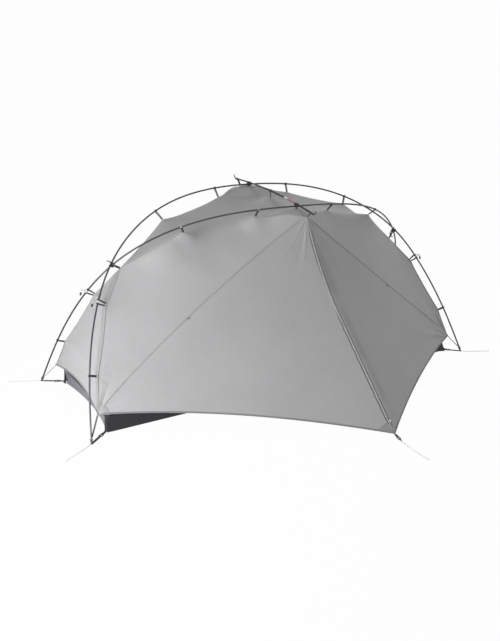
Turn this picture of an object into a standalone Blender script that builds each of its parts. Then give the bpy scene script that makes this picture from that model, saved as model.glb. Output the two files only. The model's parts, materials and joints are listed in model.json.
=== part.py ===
"""Backpacking tent for one sleeper, pitched.

A fly hangs by clips under two long poles that cross at the foot end and at the head end. A short ridge
pole lies across the two arches and holds up the peaks of the two vestibules. A bathtub floor and an
inner canopy stand under the fly.

Metres, +Z up. +X runs from the foot end to the head end, -Y is the front. The plane y = 0 mirrors
the tent. The ground is z = 0.
"""

import math

import bmesh
import bpy
import numpy as np
from mathutils import Vector

# Long poles: the route of the pole that has both its feet in front, foot end first
POLE_ROUTE = [
    (-1.200, -0.415, 0.000),
    (-1.130, -0.255, 0.310),
    (-1.017, -0.104, 0.600),
    (-0.880, 0.000, 0.792),
    (-0.500, 0.182, 1.008),
    (0.100, 0.265, 1.041),
    (0.660, 0.179, 0.931),
    (0.978, 0.000, 0.700),
    (1.098, -0.127, 0.500),
    (1.163, -0.304, 0.250),
    (1.200, -0.460, 0.000),
]
FOOT_END = 0
FOOT_CROSSING = 3
RIDGE_KNOT = 5
HEAD_CROSSING = 7
HEAD_END = 10
POLE_RADIUS = 0.0045
POLE_STEP = 0.032
FIRST_LEG_SHARE = 0.29
LAST_LEG_SHARE = 0.73
TIP_RADIUS = 0.0062
TIP_PEG_RADIUS = 0.0040
TIP_PEG = 0.016
TIP_SOCKET = 0.028
TIP_CHAMFER = 0.003
TIP_SIDES = 12

# Ridge pole
RIDGE_OVERHANG = 0.147
RIDGE_BOW = 0.020
RIDGE_SLEEVE_LENGTH = 0.060
RIDGE_SLEEVE_RADIUS = 0.0060
RIDGE_SLEEVE_PLACE = -0.165
RIDGE_TIP_LENGTH = 0.028
RIDGE_TIP_RADIUS = 0.0065
RIDGE_TIP_PLUG = 0.010
RIDGE_STRAP_HALF = 0.004
RIDGE_KNOTS = 9

# Fly
FABRIC = 0.0015
SEAM_GAP = 0.00035
APEX_GAP = 0.012
CLIP_DROP = 0.050
CROSSING_DROP = 0.055
HEAD_CROSSING_DROP = 0.064
# Where each clip sits on its pole: a knot of the route, and the length of pole from there
CLIP_PLACES = {
    "foot_low": (FOOT_END, 0.3520),
    "foot_guy": (FOOT_CROSSING, -0.2175),
    "foot_shoulder": (FOOT_CROSSING, 0.4175),
    "foot_roof": (RIDGE_KNOT, -0.2436),
    "head_roof": (RIDGE_KNOT, 0.2384),
    "head_shoulder": (HEAD_CROSSING, -0.3646),
    "head_guy": (HEAD_CROSSING, 0.2224),
    "head_low": (HEAD_END, -0.2963),
}
INSIDE = Vector((0.0, 0.0, 0.35))
PEAK_OUT = 0.106
PEAK_DROP = 0.035
CORNER_FOOT = Vector((0.070, 0.077, 0.120))
CORNER_HEAD = Vector((-0.065, 0.060, 0.100))
STAKE_X = 0.188
STAKE_REACH = 1.119
STAKE_RISE = 0.030
SPAN_SAG_SHARE = 0.030
HEM_RISE_END = 0.035
HEM_PULL_END = 0.020
HEM_PULL_FOOT = 0.083
HEM_PULL_HEAD = 0.040
HEM_RISE_FRONT = 0.014
ZIP_BEND = Vector((0.135, -0.600, 0.585))
ZIP_LEAD = Vector((0.120, -0.455, 0.765))
HOLLOW = 0.012
ROOF_SAG = 0.020
INTO_FRONT_DIRECTION = Vector((0.0, 0.8, -0.6))
PANEL_COLUMNS = 6
ZIP_SAMPLES = 24

# Fly clips
CLIP_GAP = 0.0005
CLIP_WALL = 0.0018
CLIP_WIDTH = 0.012
DOUBLE_CLIP_WIDTH = 0.0216
CLIP_MOUTH = math.radians(80)
STRAP_THICK = 0.0016
CLIP_SEGMENTS = 10
FIT_GAP = 0.0003

# Crossing clips and ridge hooks
HUB_HALF = 0.0135
HUB_DEPTH = 0.0170
HOOK_DEPTH = 0.0160
HUB_STRAP_HALF = 0.005
CHANNEL_GAP = 0.0005
CHANNEL_REACH = 0.050

# Floor and inner canopy
FLOOR_FOOT_SETBACK = 0.115
FLOOR_HEAD_SETBACK = 0.100
FLOOR_FOOT_X = POLE_ROUTE[FOOT_END][0] + FLOOR_FOOT_SETBACK
FLOOR_HEAD_X = POLE_ROUTE[HEAD_END][0] - FLOOR_HEAD_SETBACK
FLOOR_HALF_FOOT = 0.357
FLOOR_HALF_HEAD = 0.390
FLOOR_WALL = 0.100
FLOOR_FLARE = 0.006
FLOOR_FABRIC = 0.0016
CORNER_ROUND = 0.030
CANOPY_TOP = [
    (-0.780, 0.012, 0.690),
    (-0.480, 0.060, 0.845),
    (-0.130, 0.120, 0.915),
    (0.110, 0.140, 0.925),
    (0.330, 0.120, 0.895),
    (0.620, 0.060, 0.790),
    (0.870, 0.012, 0.600),
]
CANOPY_ROWS = 6
CANOPY_END_FACES = 3
CANOPY_SIDE_FACES = 14
CANOPY_INSET = 0.010
CANOPY_LIFT = 0.0008
DOOR_CENTRE_X = 0.190
DOOR_RADIUS = 0.400
DOOR_RISE = 0.035
DOOR_GAP = 0.0008
DOOR_SEGMENTS = 18
DOOR_CUT_DEPTH = 0.060

# Corner straps, stake straps and stake cords
STRAP_WIDTH = 0.016
CORNER_STRAP_THICK = 0.0020
BUCKLE_LENGTH = 0.026
BUCKLE_WIDTH = 0.022
BUCKLE_THICK = 0.0060
BUCKLE_PLACE_SHARE = 0.30
BUCKLE_RAMP = 0.001
FLOOR_CORNER_RISE = 0.012
EYELET_RISE = 0.006
EYELET_REACH = 0.010
EYELET_HALF = 0.009
EYELET_GAP = 0.0007
EYELET_CUT = 0.020
STAKE_STRAP_START = 0.0004
STAKE_STRAP_HALF = 0.008
STAKE_STRAP_THICK = 0.0044
STAKE_STRAP_TAPER = 0.010
CORD_RADIUS = 0.00125
CORD_STEP = 0.0065
STAKE_CORD_FOOT = [
    (-1.2079, -0.4171, 0.0056),
    (-1.2300, -0.4315, 0.0045),
    (-1.2800, -0.4570, 0.0026),
    (-1.3260, -0.4810, 0.0018),
    (-1.3660, -0.5020, 0.0014),
]
STAKE_CORD_HEAD = [
    (1.2076, -0.4628, 0.0055),
    (1.2300, -0.4766, 0.0045),
    (1.2750, -0.4970, 0.0026),
    (1.3160, -0.5160, 0.0018),
    (1.3560, -0.5350, 0.0014),
]
STAKE_CORD_FRONT = [
    (0.1917, -1.1735, 0.0130),
    (0.1940, -1.2000, 0.0085),
    (0.1985, -1.2450, 0.0040),
    (0.2040, -1.3000, 0.0020),
    (0.2110, -1.3640, 0.0014),
]

# Zip sliders
SLIDER_START = 0.070
SLIDER_LENGTH = 0.014
SLIDER_WIDTH = 0.009
SLIDER_HEIGHT = 0.0045
SLIDER_LIFT = 0.0005
SLIDER_BESIDE = 0.0065
SLIDER_NOSE_SHARE = 0.4

UP = Vector((0.0, 0.0, 1.0))
FRONT, REAR = -1, 1


def clear_scene():
    for item in list(bpy.data.objects):
        bpy.data.objects.remove(item)


def material(name, colour, roughness, metallic=0.0):
    made = bpy.data.materials.new(name)
    made.use_nodes = True
    shader = made.node_tree.nodes["Principled BSDF"]
    shader.inputs["Base Color"].default_value = (*colour, 1.0)
    shader.inputs["Roughness"].default_value = roughness
    shader.inputs["Metallic"].default_value = metallic
    return made


def add_mesh(name, points, faces, surface, smooth=False):
    mesh = bpy.data.meshes.new(name)
    mesh.from_pydata([tuple(p) for p in points], [], faces)
    mesh.materials.append(surface)
    item = bpy.data.objects.new(name, mesh)
    bpy.context.scene.collection.objects.link(item)
    shaped = bmesh.new()
    shaped.from_mesh(mesh)
    bmesh.ops.recalc_face_normals(shaped, faces=shaped.faces)
    shaped.to_mesh(mesh)
    shaped.free()
    if smooth:
        mesh.shade_smooth()
        mesh.set_sharp_from_angle(angle=math.radians(35))
    return item


def add_tube(name, points, radius, surface, sides=2):
    curve = bpy.data.curves.new(name, "CURVE")
    curve.dimensions = "3D"
    curve.bevel_depth = radius
    curve.bevel_resolution = sides
    curve.use_fill_caps = True
    spline = curve.splines.new("POLY")
    spline.points.add(len(points) - 1)
    for knot, place in zip(spline.points, points):
        knot.co = (*place, 1.0)
    curve.materials.append(surface)
    item = bpy.data.objects.new(name, curve)
    bpy.context.scene.collection.objects.link(item)
    return item


def add_mesh_tube(name, points, radius, surface, sides=2):
    """A tube as a welded mesh, which Booleans can work on."""
    guide = add_tube(name + "_guide", points, radius, surface, sides)
    bpy.context.view_layer.update()
    mesh = bpy.data.meshes.new_from_object(guide)
    bpy.data.objects.remove(guide)
    shaped = bmesh.new()
    shaped.from_mesh(mesh)
    bmesh.ops.remove_doubles(shaped, verts=shaped.verts, dist=1e-6)
    bmesh.ops.recalc_face_normals(shaped, faces=shaped.faces)
    shaped.to_mesh(mesh)
    shaped.free()
    item = bpy.data.objects.new(name, mesh)
    bpy.context.scene.collection.objects.link(item)
    return item


def join_solid(base, other):
    """Makes other part of base by a union."""
    union = base.modifiers.new("join " + other.name, "BOOLEAN")
    union.operation = "UNION"
    union.object = other
    other.hide_render = True
    other.display_type = "WIRE"


def cut_solid(base, cutter):
    cut = base.modifiers.new("cut " + cutter.name, "BOOLEAN")
    cut.operation = "DIFFERENCE"
    cut.object = cutter
    cutter.hide_render = True
    cutter.display_type = "WIRE"


def on_side(point, side):
    """A point of the front half, or its mirror image in the rear half."""
    return Vector((point[0], point[1] * -side, point[2]))


class Route:
    """A natural cubic curve through points, read by its length."""

    def __init__(self, knots):
        self.knots = np.array([tuple(k) for k in knots], float)
        steps = np.linalg.norm(np.diff(self.knots, axis=0), axis=1)
        self.at = np.concatenate([[0.0], np.cumsum(steps)])
        count = len(self.at)
        system = np.eye(count)
        right = np.zeros((count, 3))
        for i in range(1, count - 1):
            before = self.at[i] - self.at[i - 1]
            after = self.at[i + 1] - self.at[i]
            system[i, i - 1 : i + 2] = (before, 2 * (before + after), after)
            rise = (self.knots[i + 1] - self.knots[i]) / after
            right[i] = 6 * (rise - (self.knots[i] - self.knots[i - 1]) / before)
        self.bend = np.linalg.solve(system, right)
        self.length = float(self.at[-1])

    def point(self, s):
        s = min(max(s, 0.0), self.length)
        i = min(int(np.searchsorted(self.at, s, side="right")) - 1, len(self.at) - 2)
        width = self.at[i + 1] - self.at[i]
        a = (self.at[i + 1] - s) / width
        b = (s - self.at[i]) / width
        curve = ((a**3 - a) * self.bend[i] + (b**3 - b) * self.bend[i + 1]) * width**2 / 6
        return Vector(a * self.knots[i] + b * self.knots[i + 1] + curve)

    def tangent(self, s):
        step = 0.002
        return (self.point(s + step) - self.point(s - step)).normalized()

    def points(self, start, end, step):
        count = max(2, int(math.ceil((end - start) / step)) + 1)
        return [self.point(start + (end - start) * i / (count - 1)) for i in range(count)]


def pole_route(side):
    """The pole that has both its feet on that side. Where they cross, the rear one passes underneath."""
    shift = (POLE_RADIUS + FIT_GAP) * -side
    knots = [on_side(k, side) for k in POLE_ROUTE]
    for crossing in (FOOT_CROSSING, HEAD_CROSSING):
        here = knots[crossing]
        outward = Vector((here.x, 0.0, here.z - INSIDE.z)).normalized()
        knots[crossing] = here + outward * shift
    return Route(knots)


def inward(point, tangent):
    """The direction square to a pole that points into the tent."""
    towards = INSIDE - point
    return (towards - tangent * towards.dot(tangent)).normalized()


def clip_stations(route):
    return {name: route.at[knot] + reach for name, (knot, reach) in CLIP_PLACES.items()}


def anchors():
    """Where the clips hold the fly in the front half, and the pole points that carry them."""
    found = {}
    plain = Route(POLE_ROUTE)
    for name, station in clip_stations(plain).items():
        place = plain.point(station)
        drop = inward(place, plain.tangent(station))
        fly = place + drop * CLIP_DROP
        found[name] = Vector((fly.x, -abs(fly.y), fly.z))
    for name, knot, drop in (
        ("foot_crossing", FOOT_CROSSING, CROSSING_DROP),
        ("head_crossing", HEAD_CROSSING, HEAD_CROSSING_DROP),
    ):
        place = Vector(POLE_ROUTE[knot])
        towards = Vector((INSIDE.x - place.x, 0.0, INSIDE.z - place.z))
        along = plain.tangent(plain.at[knot])
        level = Vector((along.x, 0.0, along.z)).normalized()
        square = (towards - level * towards.dot(level)).normalized()
        found[name] = place + square * drop
    ridge = Vector(POLE_ROUTE[RIDGE_KNOT])
    found["peak"] = Vector((ridge.x, -ridge.y - PEAK_OUT, ridge.z - PEAK_DROP))
    foot = Vector(POLE_ROUTE[FOOT_END])
    head = Vector(POLE_ROUTE[HEAD_END])
    found["foot_corner"] = foot + CORNER_FOOT
    found["head_corner"] = head + CORNER_HEAD
    found["stake"] = Vector((STAKE_X, -STAKE_REACH, STAKE_RISE))
    return found


def sagged(start, end, count, sag):
    """Points from start to end, drawn in towards the inside of the tent between them."""
    along = (end - start).normalized()
    pull = inward((start + end) / 2, along) * sag * (end - start).length
    return [start.lerp(end, i / count) + pull * 4 * (i / count) * (1 - i / count) for i in range(count + 1)]


def chain(places, names, counts, sag=SPAN_SAG_SHARE):
    line = [places[names[0]]]
    for first, last, count in zip(names, names[1:], counts):
        line += sagged(places[first], places[last], count, sag)[1:]
    return line


def evenly(line, count):
    """Points at even lengths along a fine line."""
    steps = [0.0]
    for a, b in zip(line, line[1:]):
        steps.append(steps[-1] + (b - a).length)
    wanted = np.linspace(0.0, steps[-1], count + 1)
    flat = np.array([tuple(p) for p in line])
    return [Vector([np.interp(w, steps, flat[:, k]) for k in range(3)]) for w in wanted]


def zip_line(places, count):
    """From the peak down the hanging part, then straight to the stake corner."""
    peak, stake = places["peak"], places["stake"]
    fine = []
    for i in range(ZIP_SAMPLES + 1):
        t = i / ZIP_SAMPLES
        fine.append(peak * (1 - t) ** 2 + ZIP_LEAD * 2 * t * (1 - t) + ZIP_BEND * t * t)
    fine += [ZIP_BEND.lerp(stake, i / ZIP_SAMPLES) for i in range(1, ZIP_SAMPLES + 1)]
    return evenly(fine, count)


def hollowed(grid, depth, inside):
    """Draws the middle of a panel in, and leaves its four edges where they are."""
    rows, columns = len(grid), len(grid[0])
    for i, row in enumerate(grid):
        for j in range(columns):
            share = math.sin(math.pi * i / (rows - 1)) * math.sin(math.pi * j / (columns - 1))
            row[j] = row[j] + inside * depth * share
    return grid


def ruled(left, right, columns, hem=None):
    """Rows from a left line to a right line. The last row follows the hem, and its shape fades upwards."""
    grid = []
    for i, (a, b) in enumerate(zip(left, right)):
        row = [a.lerp(b, j / columns) for j in range(columns + 1)]
        if hem:
            fade = (i / (len(left) - 1)) ** 2
            ends = [left[-1].lerp(right[-1], j / columns) for j in range(columns + 1)]
            row = [p + (h - e) * fade for p, h, e in zip(row, hem, ends)]
        grid.append(row)
    return grid


def panel_grids(places):
    """Every panel of the fly as a grid of points: the front half and its mirror image, then the middle."""
    foot_crease = chain(places, ("peak", "foot_roof", "foot_shoulder", "foot_crossing"), (2, 3, 4))
    head_crease = chain(places, ("peak", "head_roof", "head_shoulder", "head_crossing"), (2, 3, 3))
    foot_edge = chain(places, ("foot_crossing", "foot_guy", "foot_low", "foot_corner"), (2, 3, 2))
    head_edge = chain(places, ("head_crossing", "head_guy", "head_low", "head_corner"), (2, 4, 2))
    count = len(foot_crease) + len(foot_edge) - 2
    zipped = zip_line(places, count)
    hinge_foot = [places["peak"].lerp(places["foot_corner"], i / count) for i in range(count + 1)]
    hinge_head = [places["peak"].lerp(places["head_corner"], i / count) for i in range(count + 1)]
    hem_foot, hem_head = [], []
    hems = ((hem_foot, "foot_corner", HEM_PULL_FOOT), (hem_head, "head_corner", HEM_PULL_HEAD))
    for line, corner, pull in hems:
        for j in range(PANEL_COLUMNS + 1):
            t = j / PANEL_COLUMNS
            draw = Vector((0.0, pull, HEM_RISE_FRONT)) * 4 * t * (1 - t)
            line.append(places[corner].lerp(places["stake"], t) + draw)
    half = {
        "side_foot": ruled(foot_crease + foot_edge[1:], hinge_foot, PANEL_COLUMNS),
        "side_head": ruled(hinge_head, head_crease + head_edge[1:], PANEL_COLUMNS),
        "door_foot": ruled(hinge_foot, zipped, PANEL_COLUMNS, hem_foot),
        "door_head": ruled(zipped, hinge_head, PANEL_COLUMNS, list(reversed(hem_head))),
    }
    for grid in half.values():
        hollowed(grid, HOLLOW, INTO_FRONT_DIRECTION.normalized())
    grids = {}
    for side, label in ((FRONT, "front"), (REAR, "rear")):
        for name, grid in half.items():
            turned = [[on_side(p, side) for p in row] for row in grid]
            grids[f"fly_{name}_{label}"] = turned if side == FRONT else [list(reversed(r)) for r in turned]
    crease = list(reversed(foot_crease)) + head_crease[1:]
    roof = ruled(crease, [on_side(p, REAR) for p in crease], PANEL_COLUMNS + 2)
    grids["fly_roof"] = hollowed(roof, ROOF_SAG, -UP)
    for name, edge, sign in (("foot", foot_edge, 1), ("head", head_edge, -1)):
        hem = []
        last = edge[-1]
        for j in range(PANEL_COLUMNS + 1):
            t = j / PANEL_COLUMNS
            draw = Vector((sign * HEM_PULL_END, 0.0, HEM_RISE_END)) * 4 * t * (1 - t)
            hem.append(last.lerp(on_side(last, REAR), t) + draw)
        grids[f"fly_end_{name}"] = ruled(edge, [on_side(p, REAR) for p in edge], PANEL_COLUMNS, hem)
    return grids


def key(point):
    return tuple(round(c, 5) for c in point)


def outward_normals(grids):
    """One direction for each point of the fly, shared by the panels that meet there."""
    sums = {}
    for grid in grids.values():
        for upper, lower in zip(grid, grid[1:]):
            for a, b, c, d in zip(upper, upper[1:], lower[1:], lower):
                face = (c - a).cross(d - b)
                middle = (a + b + c + d) / 4
                if face.dot(middle - INSIDE) < 0:
                    face = -face
                for corner in {key(p): p for p in (a, b, c, d)}:
                    sums[corner] = sums.get(corner, Vector()) + face
    return {corner: total.normalized() for corner, total in sums.items()}


def is_apex(row):
    return (row[0] - row[-1]).length < 1e-6


def fabric_solid(name, grid, normals, surface):
    """A panel as a thin solid whose rims lie on the mitre planes it shares with its neighbours."""
    rows, columns = len(grid), len(grid[0])
    middle = [[p.copy() for p in row] for row in grid]
    for i in range(rows):
        for j in range(columns):
            here = grid[i][j]
            shift = Vector()
            if j in (0, columns - 1) and not is_apex(grid[i]):
                near = grid[i][1 if j == 0 else columns - 2]
                line = grid[min(i + 1, rows - 1)][j] - grid[max(i - 1, 0)][j]
                shift += sideways(near - here, line)
            if i in (0, rows - 1) and not is_apex(grid[i]):
                near = grid[1 if i == 0 else rows - 2][j]
                line = grid[i][min(j + 1, columns - 1)] - grid[i][max(j - 1, 0)]
                shift += sideways(near - here, line)
            middle[i][j] = here + shift * SEAM_GAP
    points, faces, index = [], [], {}
    for layer in (1, -1):
        for i in range(rows):
            for j in range(columns):
                if is_apex(grid[i]):
                    if j == 0:
                        inner = grid[1 if i == 0 else rows - 2]
                        across = (inner[0] + inner[-1]) / 2 - grid[i][0]
                        place = grid[i][0] + across.normalized() * APEX_GAP
                        points.append(place + normals[key(grid[i][0])] * layer * FABRIC / 2)
                    index[layer, i, j] = len(points) - 1
                else:
                    index[layer, i, j] = len(points)
                    points.append(middle[i][j] + normals[key(grid[i][j])] * layer * FABRIC / 2)

    def face(*corners):
        unique = list(dict.fromkeys(index[c] for c in corners))
        if len(unique) > 2:
            faces.append(unique)

    for i in range(rows - 1):
        for j in range(columns - 1):
            face((1, i, j), (1, i + 1, j), (1, i + 1, j + 1), (1, i, j + 1))
            face((-1, i, j), (-1, i, j + 1), (-1, i + 1, j + 1), (-1, i + 1, j))
    for i in range(rows - 1):
        face((1, i, 0), (-1, i, 0), (-1, i + 1, 0), (1, i + 1, 0))
        face((1, i, columns - 1), (1, i + 1, columns - 1), (-1, i + 1, columns - 1), (-1, i, columns - 1))
    for j in range(columns - 1):
        face((1, 0, j), (1, 0, j + 1), (-1, 0, j + 1), (-1, 0, j))
        face((1, rows - 1, j), (-1, rows - 1, j), (-1, rows - 1, j + 1), (1, rows - 1, j + 1))
    return add_mesh(name, points, faces, surface, smooth=True)


def sideways(towards, line):
    """The unit direction towards the inside of a panel, square to its edge."""
    along = line.normalized()
    return (towards - along * towards.dot(along)).normalized()


def prism(name, outline, origin, axes, half_width, surface):
    """An outline in the plane of the first two axes, extruded along the third to both sides."""
    first, second, third = axes
    count = len(outline)
    points = []
    for side in (-half_width, half_width):
        points += [origin + first * u + second * v + third * side for u, v in outline]
    faces = [list(range(count)), list(range(count, 2 * count))]
    faces += [[i, (i + 1) % count, count + (i + 1) % count, count + i] for i in range(count)]
    return add_mesh(name, points, faces, surface)


def build_poles(surfaces):
    for side, label in ((FRONT, "front"), (REAR, "rear")):
        route = pole_route(side)
        first = route.length * FIRST_LEG_SHARE
        second = route.length * LAST_LEG_SHARE
        pieces = (
            ("foot_leg", TIP_SOCKET, first),
            ("arch", first, second),
            ("head_leg", second, route.length - TIP_SOCKET),
        )
        for name, start, end in pieces:
            points = route.points(start + FIT_GAP / 2, end - FIT_GAP / 2, POLE_STEP)
            add_tube(f"pole_{label}_{name}", points, POLE_RADIUS, surfaces["pole"], sides=1)
        pole_tip(f"pole_tip_foot_{label}", route, 0.0, TIP_SOCKET, surfaces["tip"])
        last = route.length
        pole_tip(f"pole_tip_head_{label}", route, last, last - TIP_SOCKET, surfaces["tip"])


def pole_tip(name, route, station, inside, surface):
    """A turned metal tip that plugs the pole's end and stands on the ground, cut level there."""
    bottom, top = route.point(station), route.point(inside)
    axis = (top - bottom).normalized()
    profile = [(-TIP_PEG, TIP_PEG_RADIUS), (TIP_PEG, TIP_PEG_RADIUS), (TIP_PEG, TIP_RADIUS)]
    profile += [(TIP_SOCKET - TIP_CHAMFER, TIP_RADIUS)]
    profile += [(TIP_SOCKET - FIT_GAP, POLE_RADIUS)]
    first = axis.orthogonal().normalized()
    second = axis.cross(first)
    points, faces = [], []
    for reach, radius in profile:
        for k in range(TIP_SIDES):
            turn = 2 * math.pi * k / TIP_SIDES
            spoke = first * math.cos(turn) + second * math.sin(turn)
            points.append(bottom + axis * reach + spoke * radius)
    for ring in range(len(profile) - 1):
        for k in range(TIP_SIDES):
            a, b = ring * TIP_SIDES + k, ring * TIP_SIDES + (k + 1) % TIP_SIDES
            faces.append([a, b, b + TIP_SIDES, a + TIP_SIDES])
    faces.append(list(range(TIP_SIDES)))
    faces.append(list(range((len(profile) - 1) * TIP_SIDES, len(profile) * TIP_SIDES)))
    item = add_mesh(name, points, faces, surface)
    level_cut(item, 0.0)
    return item


def level_cut(item, height):
    """Cuts off what lies under a height and closes the cut."""
    shaped = bmesh.new()
    shaped.from_mesh(item.data)
    parts = shaped.verts[:] + shaped.edges[:] + shaped.faces[:]
    cut = bmesh.ops.bisect_plane(
        shaped, geom=parts, plane_co=(0, 0, height), plane_no=(0, 0, 1), clear_inner=True, dist=1e-7
    )
    edges = [e for e in cut["geom_cut"] if isinstance(e, bmesh.types.BMEdge)]
    bmesh.ops.contextual_create(shaped, geom=edges)
    bmesh.ops.recalc_face_normals(shaped, faces=shaped.faces)
    shaped.to_mesh(item.data)
    shaped.free()


def ridge_route():
    ridge = Vector(POLE_ROUTE[RIDGE_KNOT])
    over = 2 * POLE_RADIUS + 2 * FIT_GAP
    reach = ridge.y + RIDGE_OVERHANG
    share = (ridge.y / reach) ** 2
    top = ridge.z + over + RIDGE_BOW * share
    knots = []
    for y in np.linspace(-reach, reach, RIDGE_KNOTS):
        knots.append((ridge.x, y, top - RIDGE_BOW * (y / reach) ** 2))
    return Route(knots)


def build_ridge(places, surfaces):
    """The ridge pole in two sections under a bright sleeve, and a hooked tip with its strap at each end."""
    route = ridge_route()
    middle = route.length / 2 + RIDGE_SLEEVE_PLACE
    last = route.length - RIDGE_TIP_PLUG
    for name, start, end in (("front", RIDGE_TIP_PLUG, middle), ("rear", middle, last)):
        points = route.points(start + FIT_GAP, end - FIT_GAP, POLE_STEP)
        add_tube(f"ridge_pole_{name}", points, POLE_RADIUS, surfaces["pole"], sides=1)
    half = RIDGE_SLEEVE_LENGTH / 2
    line = route.points(middle - half, middle + half, half / 2)
    sleeve = add_mesh_tube("ridge_sleeve", line, RIDGE_SLEEVE_RADIUS, surfaces["tip"])
    bore = add_mesh_tube(
        "ridge_sleeve_bore",
        route.points(middle - half * 1.2, middle + half * 1.2, half / 2),
        POLE_RADIUS + CHANNEL_GAP,
        surfaces["tip"],
    )
    cut_solid(sleeve, bore)
    for side, label, end in ((FRONT, "front", 0.0), (REAR, "rear", route.length)):
        ridge_tip(f"ridge_tip_{label}", route, end, on_side(places["peak"], side), surfaces["webbing"])


def ridge_tip(name, route, end, peak, surface):
    """A cap on the pole's end, drawn down into the strap that holds the fly's peak."""
    sign = 1 if end == 0.0 else -1
    tip = route.point(end)
    along = (tip - route.point(end + sign * 0.02)).normalized()
    cap_start = route.point(end + sign * (RIDGE_TIP_PLUG - FIT_GAP))
    line = [cap_start, tip, tip + along * (RIDGE_TIP_LENGTH - RIDGE_TIP_PLUG)]
    cap = add_mesh_tube(name, line, RIDGE_TIP_RADIUS, surface, sides=1)
    hang = cap_start.lerp(tip, 0.6)
    down = (peak - hang).normalized()
    length = (peak - hang).length - FABRIC - 2 * FIT_GAP
    side = Vector((1.0, 0.0, 0.0))
    outline = [(0.0, -STRAP_THICK), (0.0, STRAP_THICK)]
    outline += [(length, STRAP_THICK / 2), (length, -STRAP_THICK / 2)]
    axes = (down, down.cross(side).normalized(), side)
    strap = prism(name + "_strap", outline, hang, axes, RIDGE_STRAP_HALF, surface)
    join_solid(cap, strap)


def build_hubs(places, surfaces):
    """Blocks that snap over both poles where they cross, with the strap that holds the fly below them."""
    front, rear = pole_route(FRONT), pole_route(REAR)
    for name, knot, drop in (
        ("foot", FOOT_CROSSING, places["foot_crossing"]),
        ("head", HEAD_CROSSING, places["head_crossing"]),
    ):
        station = front.at[knot]
        centre = (front.point(station) + rear.point(rear.at[knot])) / 2
        down = (drop - centre).normalized()
        side = Vector((0.0, 1.0, 0.0))
        along = down.cross(side).normalized()
        axes = (down, side, along)
        block = hub_block(f"crossing_clip_{name}", centre, axes, HUB_DEPTH, surfaces["plastic"])
        length = (drop - centre).length - FABRIC - FIT_GAP
        outline = [(HUB_DEPTH / 4, -STRAP_THICK), (HUB_DEPTH / 4, STRAP_THICK)]
        outline += [(length, STRAP_THICK), (length, -STRAP_THICK)]
        axes = (down, along, side)
        strap = prism(f"crossing_strap_{name}", outline, centre, axes, HUB_STRAP_HALF, surfaces["webbing"])
        join_solid(block, strap)
        for label, route in (("front", front), ("rear", rear)):
            cut_channel(block, f"{name}_{label}_channel", route, route.at[knot])
    ridge = ridge_route()
    for side, label in ((FRONT, "front"), (REAR, "rear")):
        arch = pole_route(-side)
        station = arch.at[RIDGE_KNOT]
        crossing = arch.point(station)
        place = crossing + UP * (POLE_RADIUS + FIT_GAP)
        across = Vector((1.0, 0.0, 0.0))
        axes = (UP, across, UP.cross(across))
        hook = hub_block(f"ridge_hook_{label}", place, axes, HOOK_DEPTH, surfaces["plastic"])
        cut_channel(hook, f"hook_{label}_arch", arch, station)
        ridge_station = RIDGE_OVERHANG if side == FRONT else ridge.length - RIDGE_OVERHANG
        cut_channel(hook, f"hook_{label}_ridge", ridge, ridge_station)


def hub_block(name, centre, axes, depth, surface):
    outline = [(-depth / 2, -HUB_HALF), (-depth / 2, HUB_HALF), (depth / 2, HUB_HALF), (depth / 2, -HUB_HALF)]
    return prism(name, outline, centre, axes, HUB_HALF, surface)


def cut_channel(block, name, route, station):
    line = route.points(station - CHANNEL_REACH, station + CHANNEL_REACH, CHANNEL_REACH / 3)
    cut_solid(block, add_mesh_tube(name, line, POLE_RADIUS + CHANNEL_GAP, block.data.materials[0]))


def clip_outline(length):
    """A snap ring round the pole, open on top, with its strap below. Towards the fly first, then across."""
    inner = (POLE_RADIUS + CLIP_GAP) / math.cos(math.pi / (2 * CLIP_SEGMENTS))
    outer = inner + CLIP_WALL
    half_leg = math.asin(STRAP_THICK / 2 / outer)
    mouth = math.pi - CLIP_MOUTH / 2
    turns = [half_leg + (mouth - half_leg) * i / CLIP_SEGMENTS for i in range(CLIP_SEGMENTS + 1)]
    right = [(outer * math.cos(a), outer * math.sin(a)) for a in turns]
    back = [-mouth + 2 * mouth * i / (2 * CLIP_SEGMENTS) for i in range(2 * CLIP_SEGMENTS + 1)]
    ring = [(inner * math.cos(a), inner * math.sin(a)) for a in reversed(back)]
    left = [(u, -v) for u, v in reversed(right)]
    return [(length, STRAP_THICK / 2)] + right + ring + left + [(length, -STRAP_THICK / 2)]


def build_clips(places, surfaces):
    plain = Route(POLE_ROUTE)
    for side, label in ((FRONT, "front"), (REAR, "rear")):
        for name, station in clip_stations(plain).items():
            on_leg = plain.point(station).y < 0
            route = pole_route(side if on_leg else -side)
            hold = on_side(places[name], side)
            place = nearest(route, station, hold)
            along = (route.point(place + 0.01) - route.point(place - 0.01)).normalized()
            origin = route.point(place)
            down = hold - origin
            down = (down - along * down.dot(along)).normalized()
            length = (hold - origin).length - FABRIC / 2 - 2 * FIT_GAP
            width = DOUBLE_CLIP_WIDTH if "guy" in name else CLIP_WIDTH
            prism(
                f"clip_{name}_{label}",
                clip_outline(length),
                origin,
                (down, along.cross(down), along),
                width / 2,
                surfaces["webbing"],
            )


def nearest(route, start, target):
    """The station on a route, near start, that is closest to a point."""
    stations = [start + 0.001 * i for i in range(-40, 41)]
    return min(stations, key=lambda s: (route.point(s) - target).length)


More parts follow.
